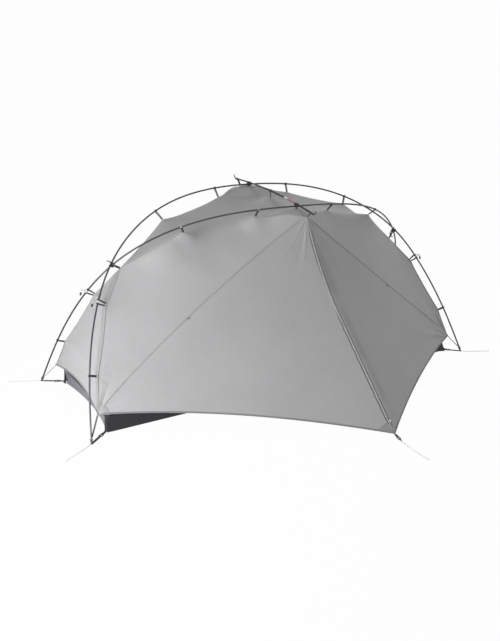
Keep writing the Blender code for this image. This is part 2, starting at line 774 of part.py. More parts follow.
def floor_outline(spread):
    """The floor's edge as points with round corners, counter-clockwise from above."""
    corners = []
    for x, y, sx, sy in (
        (FLOOR_FOOT_X, -FLOOR_HALF_FOOT, -1, -1),
        (FLOOR_HEAD_X, -FLOOR_HALF_HEAD, 1, -1),
        (FLOOR_HEAD_X, FLOOR_HALF_HEAD, 1, 1),
        (FLOOR_FOOT_X, FLOOR_HALF_FOOT, -1, 1),
    ):
        start = math.atan2(sy, sx) - math.pi / 4
        for i in range(4):
            turn = start + (math.pi / 2) * i / 3
            corners.append(
                (
                    x + sx * spread - sx * CORNER_ROUND + CORNER_ROUND * math.cos(turn),
                    y + sy * spread - sy * CORNER_ROUND + CORNER_ROUND * math.sin(turn),
                )
            )
    return corners


def build_floor(surfaces):
    """An open tray of one coated fabric, its walls flared a little."""
    outer_low, outer_high = floor_outline(0.0), floor_outline(FLOOR_FLARE)
    inner_low, inner_high = floor_outline(-FLOOR_FABRIC), floor_outline(FLOOR_FLARE - FLOOR_FABRIC)
    rings = [(outer_low, 0.0), (outer_high, FLOOR_WALL), (inner_high, FLOOR_WALL), (inner_low, FLOOR_FABRIC)]
    count = len(outer_low)
    points = [(x, y, z) for outline, z in rings for x, y in outline]
    faces = [list(range(count)), list(range(3 * count, 4 * count))]
    for ring in range(3):
        for i in range(count):
            a, b = ring * count + i, ring * count + (i + 1) % count
            faces.append([a, b, b + count, a + count])
    add_mesh("bathtub_floor", points, faces, surfaces["floor"])


def canopy_frame():
    """The canopy's lower and upper edges in the front half, foot end first."""
    top = Route([(x, -y, z) for x, y, z in CANOPY_TOP])
    base, crown = [], []
    ends, sides = CANOPY_END_FACES, CANOPY_SIDE_FACES
    spread = FLOOR_FLARE - FLOOR_FABRIC / 2
    low = FLOOR_WALL + CANOPY_LIFT
    foot_x, head_x = FLOOR_FOOT_X - spread, FLOOR_HEAD_X + spread
    foot_y, head_y = FLOOR_HALF_FOOT + spread, FLOOR_HALF_HEAD + spread
    for i in range(ends):
        base.append(Vector((foot_x, -(foot_y - CANOPY_INSET) * i / ends, low)))
        crown.append(top.point(0.0) + Vector((0.0, top.point(0.0).y * (i / ends - 1), 0.0)))
    corner_foot = Vector((foot_x + CANOPY_INSET, -foot_y, low))
    corner_head = Vector((head_x - CANOPY_INSET, -head_y, low))
    for i in range(sides + 1):
        base.append(corner_foot.lerp(corner_head, i / sides))
        crown.append(top.point(top.length * i / sides))
    for i in range(ends - 1, -1, -1):
        base.append(Vector((head_x, -(head_y - CANOPY_INSET) * i / ends, low)))
        crown.append(top.point(top.length) + Vector((0.0, top.point(top.length).y * (i / ends - 1), 0.0)))
    return base, crown


def build_canopy(surfaces):
    """The inner canopy, a thin shell open below, with a half-round doorway in front."""
    base, crown = canopy_frame()
    round_base = base + [on_side(p, REAR) for p in reversed(base[1:-1])]
    round_crown = crown + [on_side(p, REAR) for p in reversed(crown[1:-1])]
    count = len(round_base)
    points, faces = [], []
    for j in range(CANOPY_ROWS + 1):
        for a, b in zip(round_base, round_crown):
            points.append(a.lerp(b, j / CANOPY_ROWS))
    for j in range(CANOPY_ROWS):
        for i in range(count):
            a, b = j * count + i, j * count + (i + 1) % count
            faces.append([a, b, b + count, a + count])
    top = CANOPY_ROWS * count
    last = len(base) - 1
    for i in range(1, last - 1):
        faces.append([top + i, top + i + 1, top + count - i - 1, top + count - i])
    faces.append([top, top + 1, top + count - 1])
    faces.append([top + last, top + last + 1, top + last - 1])
    canopy = add_mesh("inner_canopy", points, faces, surfaces["inner"])
    thick = canopy.modifiers.new("fabric", "SOLIDIFY")
    thick.thickness = FABRIC
    thick.offset = 0.0
    thick.use_even_offset = True
    place, axes = door_frame()
    cutter = prism("doorway_cutter", door_outline(DOOR_GAP), place, axes, DOOR_CUT_DEPTH, surfaces["inner"])
    cut_solid(canopy, cutter)
    prism("inner_door", door_outline(0.0), place, axes, FABRIC / 2, surfaces["inner"])


def door_frame():
    """The middle of the inner door's lower edge, and its axes: across, up the wall, out of the tent."""
    base, crown = canopy_frame()
    spots = [i for i, p in enumerate(base) if -FLOOR_HALF_FOOT > p.y]
    near = min(spots, key=lambda i: abs(base[i].x - DOOR_CENTRE_X))
    across = (base[near + 3] - base[near - 3]).normalized()
    towards = sum(((crown[i] - base[i]) for i in range(near - 3, near + 4)), Vector())
    up = (towards - across * towards.dot(across)).normalized()
    foot = base[near].lerp(crown[near], DOOR_RISE / (crown[near].z - base[near].z))
    return foot, (across, up, across.cross(up))


def door_outline(grow):
    """A half round over a straight lower edge."""
    radius = DOOR_RADIUS + grow
    arc = [math.pi * i / DOOR_SEGMENTS for i in range(DOOR_SEGMENTS + 1)]
    line = [(radius * math.cos(a), radius * math.sin(a)) for a in arc]
    line[0], line[-1] = (radius, -grow), (-radius, -grow)
    return line


def build_corner_straps(surfaces):
    """Webbing from each floor corner through a ladder buckle to an eyelet where the pole tip's peg stands."""
    for end, corner_x, corner_y in (
        ("foot", FLOOR_FOOT_X, FLOOR_HALF_FOOT),
        ("head", FLOOR_HEAD_X, FLOOR_HALF_HEAD),
    ):
        for side, label in ((FRONT, "front"), (REAR, "rear")):
            route = pole_route(side)
            station, inside = 0.0, TIP_SOCKET
            if end == "head":
                station, inside = route.length, route.length - TIP_SOCKET
            bottom = route.point(station)
            axis = (route.point(inside) - bottom).normalized()
            peg = bottom + axis * EYELET_RISE / axis.z
            centre_x = corner_x - math.copysign(CORNER_ROUND, corner_x)
            centre = Vector((centre_x, side * (corner_y - CORNER_ROUND), 0.0))
            away = Vector((peg.x - centre.x, peg.y - centre.y, 0.0)).normalized()
            swell = FLOOR_FLARE * FLOOR_CORNER_RISE / FLOOR_WALL
            start = centre + away * (CORNER_ROUND + swell + 2 * FIT_GAP) + UP * FLOOR_CORNER_RISE
            strap = corner_strap(f"corner_strap_{end}_{label}", start, peg, surfaces["webbing"])
            hole = add_mesh_tube(
                f"eyelet_{end}_{label}",
                [peg - axis * EYELET_CUT, peg + axis * EYELET_CUT],
                TIP_PEG_RADIUS + EYELET_GAP,
                surfaces["webbing"],
            )
            cut_solid(strap, hole)


def corner_strap(name, start, peg, surface):
    """The strap is flat, swells into the buckle and ends in the eyelet plate."""
    along = (peg - start).normalized()
    across = UP.cross(along).normalized()
    square = along.cross(across)
    reach = (peg - start).length
    thin = CORNER_STRAP_THICK / 2
    thick = BUCKLE_THICK / 2
    first = BUCKLE_PLACE_SHARE * reach
    second = first + BUCKLE_LENGTH
    sections = [
        (0.0, STRAP_WIDTH / 2, thin),
        (first, STRAP_WIDTH / 2, thin),
        (first + BUCKLE_RAMP, BUCKLE_WIDTH / 2, thick),
        (second, BUCKLE_WIDTH / 2, thick),
        (second + BUCKLE_RAMP, STRAP_WIDTH / 2, thin),
        (reach - EYELET_REACH - BUCKLE_RAMP, STRAP_WIDTH / 2, thin),
        (reach - EYELET_REACH, EYELET_HALF, thin),
        (reach + EYELET_REACH, EYELET_HALF, thin),
    ]
    points, faces = [], []
    for distance, half, tall in sections:
        centre = start + along * distance
        for u, v in ((-half, -tall), (half, -tall), (half, tall), (-half, tall)):
            points.append(centre + across * u + square * v)
    for ring in range(len(sections) - 1):
        for k in range(4):
            a, b = ring * 4 + k, ring * 4 + (k + 1) % 4
            faces.append([a, b, b + 4, a + 4])
    faces += [[0, 1, 2, 3], list(range(len(points) - 4, len(points)))]
    return add_mesh(name, points, faces, surface)


def build_stake_strap(places, surfaces):
    """The buckled strap between the front stake corner of the fly and its cord."""
    stake = places["stake"]
    end = Vector(STAKE_CORD_FRONT[0])
    along = (end - stake).normalized()
    across = UP.cross(along).normalized()
    square = along.cross(across)
    start = STAKE_STRAP_START
    stop = (end - stake).length - FIT_GAP
    wide, narrow = STAKE_STRAP_HALF, STAKE_STRAP_HALF / 2
    outline = [
        (start, narrow),
        (start + STAKE_STRAP_TAPER, wide),
        (stop - STAKE_STRAP_TAPER, wide),
        (stop, narrow),
    ]
    outline += [(u, -v) for u, v in reversed(outline)]
    axes = (along, across, square)
    prism("stake_buckle_front", outline, stake, axes, STAKE_STRAP_THICK / 2, surfaces["webbing"])


def build_cords(surfaces):
    """Thin cords that run from the feet and the front stake corner to where stakes hold them."""
    routes = (
        ("stake_cord_foot_front", STAKE_CORD_FOOT, FRONT),
        ("stake_cord_foot_rear", STAKE_CORD_FOOT, REAR),
        ("stake_cord_head_front", STAKE_CORD_HEAD, FRONT),
        ("stake_cord_vestibule", STAKE_CORD_FRONT, FRONT),
    )
    for name, knots, side in routes:
        route = Route([on_side(k, side) for k in knots])
        add_tube(name, route.points(0.0, route.length, CORD_STEP), CORD_RADIUS, surfaces["cord"])


def build_sliders(places, surfaces):
    """A zip slider on the outer face of each head-side door, beside the straight part of its zip."""
    along = (ZIP_BEND - places["stake"]).normalized()
    head = places["head_corner"] - places["stake"]
    out = head.cross(along).normalized()
    if out.y > 0:
        out = -out
    beside = along.cross(out).normalized()
    if beside.x < 0:
        beside = -beside
    centre = places["stake"] + along * SLIDER_START + beside * SLIDER_BESIDE
    centre = centre + out * (FABRIC / 2 + SLIDER_LIFT + SLIDER_HEIGHT / 2)
    half, tall = SLIDER_LENGTH / 2, SLIDER_HEIGHT / 2
    nose, shoulder = half * SLIDER_NOSE_SHARE, tall * SLIDER_NOSE_SHARE
    outline = [(-half, -tall), (half, -tall), (half, shoulder), (nose, tall), (-nose, tall), (-half, shoulder)]
    for side, label in ((FRONT, "front"), (REAR, "rear")):
        axes = [on_side(a, side) for a in (along, out, beside)]
        place = on_side(centre, side)
        prism(f"zip_slider_{label}", outline, place, axes, SLIDER_WIDTH / 2, surfaces["plastic"])


def main():
    clear_scene()
    surfaces = {
        "pole": material("pole_charcoal", (0.035, 0.035, 0.038), 0.32, 0.6),
        "tip": material("tip_alloy", (0.60, 0.60, 0.62), 0.30, 0.9),
        "fly": material("fly_grey", (0.40, 0.39, 0.40), 0.55),
        "floor": material("floor_dark", (0.035, 0.034, 0.045), 0.55),
        "inner": material("inner_grey", (0.30, 0.29, 0.31), 0.70),
        "webbing": material("webbing_black", (0.020, 0.020, 0.022), 0.70),
        "plastic": material("clip_plastic", (0.022, 0.022, 0.024), 0.40),
        "cord": material("cord_pale", (0.72, 0.72, 0.72), 0.75),
    }
    places = anchors()
    grids = panel_grids(places)
    normals = outward_normals(grids)
    for name, grid in grids.items():
        fabric_solid(name, grid, normals, surfaces["fly"])
    build_poles(surfaces)
    build_ridge(places, surfaces)
    build_hubs(places, surfaces)
    build_clips(places, surfaces)
    build_floor(surfaces)
    build_canopy(surfaces)
    build_corner_straps(surfaces)
    build_stake_strap(places, surfaces)
    build_cords(surfaces)
    build_sliders(places, surfaces)


main()
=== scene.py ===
"""Looks of a backpacking tent: cloth, poles, clips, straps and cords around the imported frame."""

import json
import math

import bmesh
import bpy
import numpy as np
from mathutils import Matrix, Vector

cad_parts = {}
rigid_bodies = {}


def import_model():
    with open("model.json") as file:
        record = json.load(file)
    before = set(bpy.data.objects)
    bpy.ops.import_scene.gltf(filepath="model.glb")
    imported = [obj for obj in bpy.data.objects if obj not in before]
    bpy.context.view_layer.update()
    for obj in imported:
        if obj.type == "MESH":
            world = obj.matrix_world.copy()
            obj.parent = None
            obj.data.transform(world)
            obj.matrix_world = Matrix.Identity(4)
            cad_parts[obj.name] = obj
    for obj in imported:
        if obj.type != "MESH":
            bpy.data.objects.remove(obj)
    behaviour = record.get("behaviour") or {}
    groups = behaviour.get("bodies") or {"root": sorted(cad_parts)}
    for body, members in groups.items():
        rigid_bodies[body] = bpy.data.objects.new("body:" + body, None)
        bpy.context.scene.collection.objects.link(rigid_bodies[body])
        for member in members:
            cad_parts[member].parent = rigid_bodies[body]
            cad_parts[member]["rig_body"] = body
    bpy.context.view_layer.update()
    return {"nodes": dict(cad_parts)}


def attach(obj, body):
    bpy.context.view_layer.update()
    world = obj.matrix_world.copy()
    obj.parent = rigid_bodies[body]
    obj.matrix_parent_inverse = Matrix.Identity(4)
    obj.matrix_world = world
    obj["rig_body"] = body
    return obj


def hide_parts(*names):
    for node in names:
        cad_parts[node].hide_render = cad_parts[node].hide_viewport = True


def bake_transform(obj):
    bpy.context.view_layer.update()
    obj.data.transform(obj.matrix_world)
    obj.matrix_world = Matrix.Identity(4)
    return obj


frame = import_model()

FRONT, REAR = -1, 1
LABELS = {FRONT: "front", REAR: "rear"}
ENDS = ("foot", "head")
LENGTHWISE = np.array((1.0, 0.0, 0.0))
BACKWARDS = np.array((0.0, 1.0, 0.0))
UPWARDS = np.array((0.0, 0.0, 1.0))

# Camera
CAMERA_PLACE = (-2.5253, -4.4469, 2.4590)
CAMERA_TURN = (67.0102, 0.0, -29.1698)
CAMERA_LENS = 52.79
CAMERA_SENSOR = 36.0
CAMERA_FAR = 200.0

# Long poles, as in the part's source
POLE_ROUTE = [
    (-1.200, -0.415, 0.000), (-1.130, -0.255, 0.310), (-1.017, -0.104, 0.600), (-0.880, 0.000, 0.792),
    (-0.500, 0.182, 1.008), (0.100, 0.265, 1.041), (0.660, 0.179, 0.931), (0.978, 0.000, 0.700),
    (1.098, -0.127, 0.500), (1.163, -0.304, 0.250), (1.200, -0.460, 0.000),
]
FOOT_END, FOOT_CROSSING, RIDGE_KNOT, HEAD_CROSSING, HEAD_END = 0, 3, 5, 7, 10
POLE_RADIUS = 0.0045
FIT_GAP = 0.0003
FIRST_LEG_SHARE = 0.29
LAST_LEG_SHARE = 0.73
TIP_SOCKET = 0.028
SECTION_LENGTH = 0.42
POLE_STEP = 0.010
COLLAR = 0.012
COLLAR_PROFILE = [
    (-0.0060, 0.00441), (-0.0048, 0.00465), (-0.0004, 0.00465), (0.0, 0.004455),
    (0.0004, 0.00465), (0.0048, 0.00465), (0.0060, 0.00441),
]
TIP_PROFILE = [
    (0.0026, 0.0018), (0.0030, 0.0034), (0.0040, 0.0040), (0.0150, 0.0040), (0.0156, 0.0062),
    (0.0180, 0.0062), (0.0184, 0.0055), (0.0192, 0.0055), (0.0196, 0.0062), (0.0245, 0.0062),
    (0.0272, 0.0048),
]

# Ridge pole
RIDGE_OVERHANG = 0.147
RIDGE_BOW = 0.020
RIDGE_KNOTS = 9
RIDGE_SLEEVE_LENGTH = 0.060
RIDGE_SLEEVE_PLACE = -0.165
SLEEVE_RIM = 0.0004
SLEEVE_SWELL = 0.0010
RIDGE_TIP_PLUG = 0.010
RIDGE_MIDDLE = 0.020
RED_LENGTH = 0.050
GRIP_WALL = 0.0010
RED_WALL = 0.0003
GRIP_SHORT = 0.016
RIDGE_CAP = [
    (0.0, 0.0050), (0.002, 0.0062), (0.012, 0.0062), (0.014, 0.0052),
    (0.018, 0.0050), (0.022, 0.0064), (0.0255, 0.0062), (0.0275, 0.0040),
]
RIDGE_HOOK = [
    (0.010, 0.0), (0.018, 0.0005), (0.026, 0.0030), (0.034, 0.0080), (0.040, 0.0150), (0.043, 0.0235),
]
RIDGE_HOOK_RADII = (0.0042, 0.0024)
BEND_STEP = 0.0025

# Fly: for each clip of the front half the knot of its pole, the length from there and the cloth's shift
CLIP_DROP = 0.050
CLIPS = {
    "foot_low": (FOOT_END, 0.3520, (-0.007, 0.003, 0.002)),
    "foot_guy": (FOOT_CROSSING, -0.2175, (-0.003, 0.006, 0.002)),
    "foot_shoulder": (FOOT_CROSSING, 0.4175, (0.011, 0.016, 0.002)),
    "foot_roof": (RIDGE_KNOT, -0.2436, (0.015, 0.019, 0.001)),
    "head_roof": (RIDGE_KNOT, 0.2384, (-0.002, 0.016, 0.004)),
    "head_shoulder": (HEAD_CROSSING, -0.3646, (-0.012, 0.008, 0.010)),
    "head_guy": (HEAD_CROSSING, 0.2224, (0.001, 0.002, 0.008)),
    "head_low": (HEAD_END, -0.2963, (0.008, -0.004, 0.005)),
}
CROSSINGS = {
    "foot": (FOOT_CROSSING, 0.055, (0.006, 0.0, 0.011)),
    "head": (HEAD_CROSSING, 0.064, (0.018, 0.0, -0.008)),
}
INSIDE = np.array((0.0, 0.0, 0.35))
PEAK_OUT = 0.106
PEAK_DROP = 0.035
CORNER_SHIFTS = {"foot": (0.070, 0.077, 0.120), "head": (-0.065, 0.060, 0.100)}
STAKE = np.array((0.188, -1.119, 0.030))
CREASE_SAGS = {"foot": (0.002, 0.013, 0.012), "head": (0.004, 0.012, 0.006)}
EDGE_SAGS = (0.012, 0.014, 0.014)
HEM_RISE_END = 0.035
HEM_PULL_END = 0.020
HEM_PULL = {"foot": 0.083, "head": 0.032}
HEM_RISE_FRONT = 0.014
ZIP_BEND = np.array((0.135, -0.600, 0.585))
ZIP_LEAD = np.array((0.120, -0.455, 0.765))
HOLLOW = 0.012
ROOF_SAG = 0.020
INTO_FRONT = np.array((0.0, 0.8, -0.6))
FLAT_UP = (0.0, 0.6, 0.8)
WALL_TILT = 0.25

# Mesh fineness: rows of the source's panels, rows for each of those, and columns
PANEL_ROWS = {"foot": (2, 3, 4, 2, 3, 2), "head": (2, 3, 3, 2, 4, 2)}
FINE = 12
SIDE_COLUMNS = 32
DOOR_COLUMNS = 72
ROOF_COLUMNS = 56
END_COLUMNS = 48
STRETCH_PASSES = 900

# Seams: how far each bows away from the straight line on which its door turns
SEAM_BOW = {"foot": 0.052, "head": 0.034}
SEAM_BOW_POWER = 0.55
SEAM_SIDE = {"foot": np.array((-0.4093, 0.6925, 0.5940)), "head": np.array((0.4309, 0.7718, 0.4676))}
PANEL_OUT = {"foot": np.array((-0.4176, -0.7211, 0.5529)), "head": np.array((0.4984, -0.6355, 0.5897))}

# Floor: the x of each end and half its width
FLOOR_ENDS = {"foot": (-1.085, 0.337), "head": (1.100, 0.390)}
FLOOR_WALL = 0.100
FLOOR_FLARE = 0.006
FLOOR_FABRIC = 0.0016
FLOOR_SPREAD = FLOOR_FLARE - FLOOR_FABRIC / 2
CORNER_ROUND = 0.030
CORNER_STEPS = 9
FLOOR_SIDE_STEPS = (88, 40, 88, 40)
FLOOR_DRAW = 0.035
FLOOR_DRAW_REACH = 0.45
FLOOR_DRAW_FADE = 0.65
FLOOR_SHARES = (0.02, 0.15, 0.30, 0.45, 0.60, 0.75, 0.88, 0.95, 0.99)
FLOOR_RUCK = 0.0022
FLOOR_RUCK_PITCH = (9.0, 13.0)
FLOOR_WALL_WAVE = 0.0016
EAR_LENGTH = {"foot": 0.014, "head": 0.034}
EAR_SPREAD = 0.75
EAR_TIP = 0.0095
EAR_THICK = 0.0008
FAR_ABOVE = np.array((0.0, 0.0, 9.0))
RIM_PROFILE = [(-0.010, 0.0004), (-0.009, 0.0016), (0.004, 0.0016), (0.005, 0.0004)]

# Inner canopy and its door
CANOPY_COLUMNS = 90
CANOPY_RISE = 30
CANOPY_TOP = [
    (-0.780, -0.012, 0.690), (-0.480, -0.060, 0.845), (-0.130, -0.120, 0.915), (0.110, -0.140, 0.925),
    (0.330, -0.120, 0.895), (0.620, -0.060, 0.790), (0.870, -0.012, 0.600),
]
CANOPY_INSET = 0.010
CANOPY_CORNER = 0.012
CANOPY_LIFT = 0.0008
CANOPY_SAG = 0.010
CANOPY_FABRIC = 0.0010
CANOPY_END_PULL = 0.35
DOOR_RADIUS = 0.400
DOOR_GAP = 0.0008
DOOR_DIP = 0.004
DOOR_PLACE = np.array((0.1642, -0.3706, 0.1358))
DOOR_ACROSS = np.array((0.99988, -0.01517, 0.0))
DOOR_UP = np.array((0.0048, 0.3178, 0.9481))
DOOR_OUT = np.array((-0.0144, -0.9480, 0.3179))
CUTTER_HALF = 0.06
DOORWAY_TAPE = [(-0.016, 0.0008), (-0.014, 0.0014), (-0.003, 0.0014), (-0.002, 0.0008)]
DOORWAY_COIL = [(-0.0062, 0.0014), (-0.0050, 0.0030), (-0.0034, 0.0030), (-0.0022, 0.0014)]
DOOR_TAPE = [(0.0006, 0.0004), (0.002, 0.0012), (0.013, 0.0012), (0.015, 0.0004)]

# Cords
CORD_RADIUS = 0.00125
CORD_POINTS = 24
KNOT_TURNS = 1.6
KNOT_POINTS = 26
FOOT_CORD = [
    (-1.2079, -0.4171, 0.0056), (-1.2300, -0.4315, 0.0045), (-1.2800, -0.4570, 0.0026),
    (-1.3260, -0.4810, 0.0018), (-1.3660, -0.5020, 0.0014),
]
STAKE_CORDS = {
    "stake_cord_foot_front": FOOT_CORD,
    "stake_cord_foot_rear": [(x, -y, z) for x, y, z in FOOT_CORD],
    "stake_cord_head_front": [
        (1.2076, -0.4628, 0.0055), (1.2300, -0.4766, 0.0045), (1.2750, -0.4970, 0.0026),
        (1.3160, -0.5160, 0.0018), (1.3560, -0.5350, 0.0014),
    ],
    "stake_cord_vestibule": [
        (0.1917, -1.1735, 0.0130), (0.1940, -1.2000, 0.0085), (0.1985, -1.2450, 0.0040),
        (0.2040, -1.3000, 0.0020), (0.2110, -1.3640, 0.0014),
    ],
}

# Bands on the cloth, as (across, lift) pairs
SEAM_PROFILE = [
    (-0.0060, 0.0), (-0.0054, 0.0012), (-0.0010, 0.0030), (0.0024, 0.0030), (0.0044, 0.0010), (0.0048, 0.0),
]
EDGE_PROFILE = [
    (-0.0060, -0.0018), (-0.0045, 0.0008), (-0.0010, 0.0021), (0.0015, 0.0021), (0.0050, 0.0008),
    (0.0062, -0.0018),
]
HEM_BAND = 0.0085
HEM_THICK = 0.0013
HEM_PROFILE = [(1.0, 0.4), (0.92, 1.0), (0.10, 1.0), (-0.06, 0.0), (0.10, -1.0), (0.92, -1.0), (1.0, -0.4)]
FLAP_ACROSS = (0.0080, 0.0074, 0.0054, 0.0030, 0.0010, -0.0008, -0.0013, -0.0004, 0.0044)
FLAP_LIFTS = (0.0004, 0.0021, 0.0030, 0.0035, 0.0035, 0.0030, 0.0022, 0.0013, 0.0009)
FLAP_FLAT_LIFTS = (0.0004, 0.0014, 0.0018, 0.0019, 0.0018, 0.0016, 0.0012, 0.0008, 0.0005)
# The strip on the flap's seam: a stitched line, and also painted shade along the step of the flap's edge
FLAP_SEAM_SHADE_PROFILE = [(0.0140, 0.0), (0.0134, 0.0012), (0.0082, 0.0012), (0.0074, 0.0006)]
FLAP_RISES = (0.40, 0.80)
FLAP_RIPPLE = 0.28
FLAP_SEAM_SHADE_RIPPLE = 0.12
RIPPLE_PITCH = 0.055
RIPPLE_SEED = 4
SEAM_TAPER = 0.08
EDGE_TAPER = 0.06
FLAP_TAPER = 0.10
TAPER_END = 0.12
TAPE_PROFILE = [(0.0004, 0.0), (0.0010, 0.0008), (0.0120, 0.0009), (0.0128, 0.0)]
COIL_PROFILE = [(0.0042, 0.0008), (0.0048, 0.0022), (0.0064, 0.0028), (0.0080, 0.0022), (0.0086, 0.0008)]
ZIP_ROWS_FROM = 2
PATCH_ROWS = 12
PATCH_COLUMNS = 4
PATCH_STEPS = 20
ROUND_PATCH = ((0.006, 0.0), (0.012, 0.0010), (0.060, 0.0010), (0.0615, 0.0))
STAKE_PATCH = ((0.04, 0.0), (0.10, 0.0012), (0.95, 0.0012), (1.0, 0.0))
TIEBACK_SHARE = 0.555
TIEBACK_REACH = (-0.002, 0.016)
TIEBACK_SIZE = (0.008, 0.0014)
TIEBACK_LIFT = 0.0022
TOGGLE_LIFT = 0.0012
TIEBACK_TOGGLE = [(-0.006, 0.0010), (-0.005, 0.0020), (0.0, 0.0022), (0.005, 0.0020), (0.006, 0.0010)]

# Creases that fan out from a held place: how many, reach, height, seed and width
CORNER_FAN = {"foot": (7, 0.20, 0.0030, 3, 0.008), "head": (9, 0.26, 0.0080, 3, 0.008)}
CORNER_LONG_FAN = {"foot": (5, 0.36, 0.0024, 8, 0.016), "head": (5, 0.468, 0.0064, 8, 0.016)}
PEAK_FAN = {"foot": (9, 0.20, 0.0024, 11, 0.007), "head": (9, 0.20, 0.0024, 12, 0.007)}
PEAK_LONG_FAN = (4, 0.48, 0.0026, 17, 0.016)
STAKE_FAN = (6, 0.22, 0.0024, 21, 0.008)
CLIP_FAN = (5, 0.13, 0.0024, 31, 0.008)
HOLD_FAN = (9, 0.22, 0.0030, 41, 0.008)
ROOF_PEAK_FAN = (8, 0.26, 0.0036, 45, 0.008)
BEAK_FAN = {FRONT: (13, 0.13, 0.0022, 47, 0.006), REAR: (13, 0.13, 0.0050, 47, 0.006)}
ROOF_CLIP_FAN = (5, 0.16, 0.0026, 51, 0.008)
ROOF_CROSSING_FAN = (5, 0.30, 0.0030, 61, 0.010)
WALL_CORNER_FAN = (7, 0.24, 0.0032, 71, 0.008)
WALL_CLIP_FAN = (5, 0.14, 0.0026, 81, 0.008)
WALL_CROSSING_FAN = (6, 0.30, 0.0032, 91, 0.009)
FOLD_MARGIN = 0.016

# Single folds: end, start, stop, width and height
LONG_FOLDS = [
    ("head", (0.128, -0.425, 0.900), (0.175, -0.590, 0.570), 0.032, -0.014),
    ("head", (0.165, -0.560, 0.610), (0.232, -1.060, 0.070), 0.022, -0.009),
    ("foot", (-0.515, -0.150, 0.930), (-0.400, -0.190, 0.930), 0.032, -0.009),
]
ROOF_TENT_FOLD = (0.012, 0.0045, 0.10)
BEAK = np.array((0.095, -0.268))
BEAK_REACH = np.array((0.190, 0.100))
BEAK_RISE = 0.032
BEAK_CLOTH = 0.994
ROOF_HOLD = np.array((0.100, 0.020, 0.990))
ROOF_LIFT = 0.030
ROOF_LIFT_WIDTH = 0.075
HOOK_HOLD = np.array((0.100, 0.020, 1.018))
TROUGHS = [
    ((-0.340, -0.190, 0.955), 0.27, 0.028),
    ((-0.120, -0.280, 0.930), 0.22, 0.018),
    ((-0.640, -0.100, 0.850), 0.15, -0.013),
]
SLACK_EDGE = 0.12
SLACK_HELD = 0.10

# Rounding of the crease between the roof and the panels
SOFT_ROOF = 0.60
SOFT_ROOF_FROM = (0.22, 0.34)
SOFT_ROOF_EDGE = 0.05
SOFT_CREASE = 0.290
SOFT_HELD = (0.005, 0.120)
SOFT_EDGE = 0.050
SOFT_REAR = 0.04
SOFT_SPANS = {"foot": (0.02, 1.0, 0.03), "head": (0.06, 0.20, 0.02)}
SOFT_PASSES = 520
SOFT_RATE = 0.6

# Hooks and clips
LIP_RADIUS = 0.0013
# Thicker lips in the white cord colour: a painted highlight on the top of the clips
GLINT_LIP_RADIUS = 0.0021
STRAP_BAND = 0.0115
GUY_BAND = 0.0080
GUY_SHIFT = 0.0105
GUY_REACH = 0.034
GUY_FALL = 0.028
GUY_CORD = 0.0015
GUY_TAIL = 0.0011
GUY_TOGGLE = [
    (-0.0080, 0.0030), (-0.0072, 0.0048), (-0.0015, 0.0056), (0.0, 0.0048),
    (0.0015, 0.0056), (0.0072, 0.0052), (0.0085, 0.0034),
]
HUB_SHIFT = 0.0085
HUB_PLATE = (0.0060, 0.0250, 0.0250)
HUB_STEM = (0.0080, 0.0120, 0.0060)
HUB_LEFT = np.array((-0.873, 0.487, 0.0))
HUB_TIP = [(0.002, 0.010), (0.010, 0.016), (0.018, 0.020), (0.026, 0.019)]
HUB_TIP_RADII = (0.0032, 0.0022)
HUB_HOOK = [
    (0.002, -0.001), (0.012, 0.001), (0.021, 0.007), (0.0265, 0.016), (0.0275, 0.027), (0.024, 0.037),
    (0.016, 0.043), (0.008, 0.041),
]
HUB_HOOK_RADII = (0.0034, 0.0026)
POST_SHIFT = 0.0092
POST_PROFILE = [(-0.0052, 0.0018), (-0.0046, 0.0026), (0.0046, 0.0026), (0.0052, 0.0018)]

# Straps at the ground
STRAP_WIDTH = 0.016
STRAP_THICK = 0.0015
BUCKLE_LENGTH = 0.026
BUCKLE_WIDTH = 0.022
BUCKLE_PLACE_SHARE = 0.30
FLOOR_CORNER_RISE = 0.012
EYELET_RISE = 0.006
EYELET_SECTION = [
    (0.0050, -0.00066), (0.00566, -0.0011), (0.00814, -0.0011), (0.0088, -0.00044), (0.0088, 0.00044),
    (0.00814, 0.0011), (0.00566, 0.0011), (0.0050, 0.00066), (0.0050, -0.00066),
]
BAR_TACK = [(-1, -1), (-0.6, 1), (-0.2, -1), (0.2, 1), (0.6, -1), (1, 1)]
THREAD_RADIUS = 0.00035
TIE_RISE = 0.022
TIE_WIDTH = 0.009
TIE_LOOP = 0.0078
STAKE_BUCKLE = (0.0155, 0.019)

# Zip sliders
SLIDER_START = 0.070
SLIDER_BESIDE = 0.0065
SLIDER_LIFT = 0.00125
SLIDER_SIZE = (0.0138, 0.0088, 0.0022)

# Light
FLOOR_GLOW = 0.98
FLOOR_SIZE = 40.0
FLOOR_DEPTH = 0.0005
FLOOR_WHITE = (0.80, 0.80, 0.80, 1.0)
WHITE = (1.0, 1.0, 1.0, 1.0)
WORLD_LIGHT = 0.12
LIGHT_AIM = (0.0, -0.2, 0.4)
LIGHTS = [
    ("key", (-3.0, -1.2, 0.8), 1.5, 74.0),
    ("right", (3.0, -4.0, 2.0), 3.0, 32.0),
    ("end", (4.0, 0.0, 1.5), 3.0, 13.0),
    ("top", (0.0, 0.0, 4.0), 3.0, 30.0),
    ("back", (0.0, 5.0, 2.5), 3.0, 30.0),
]

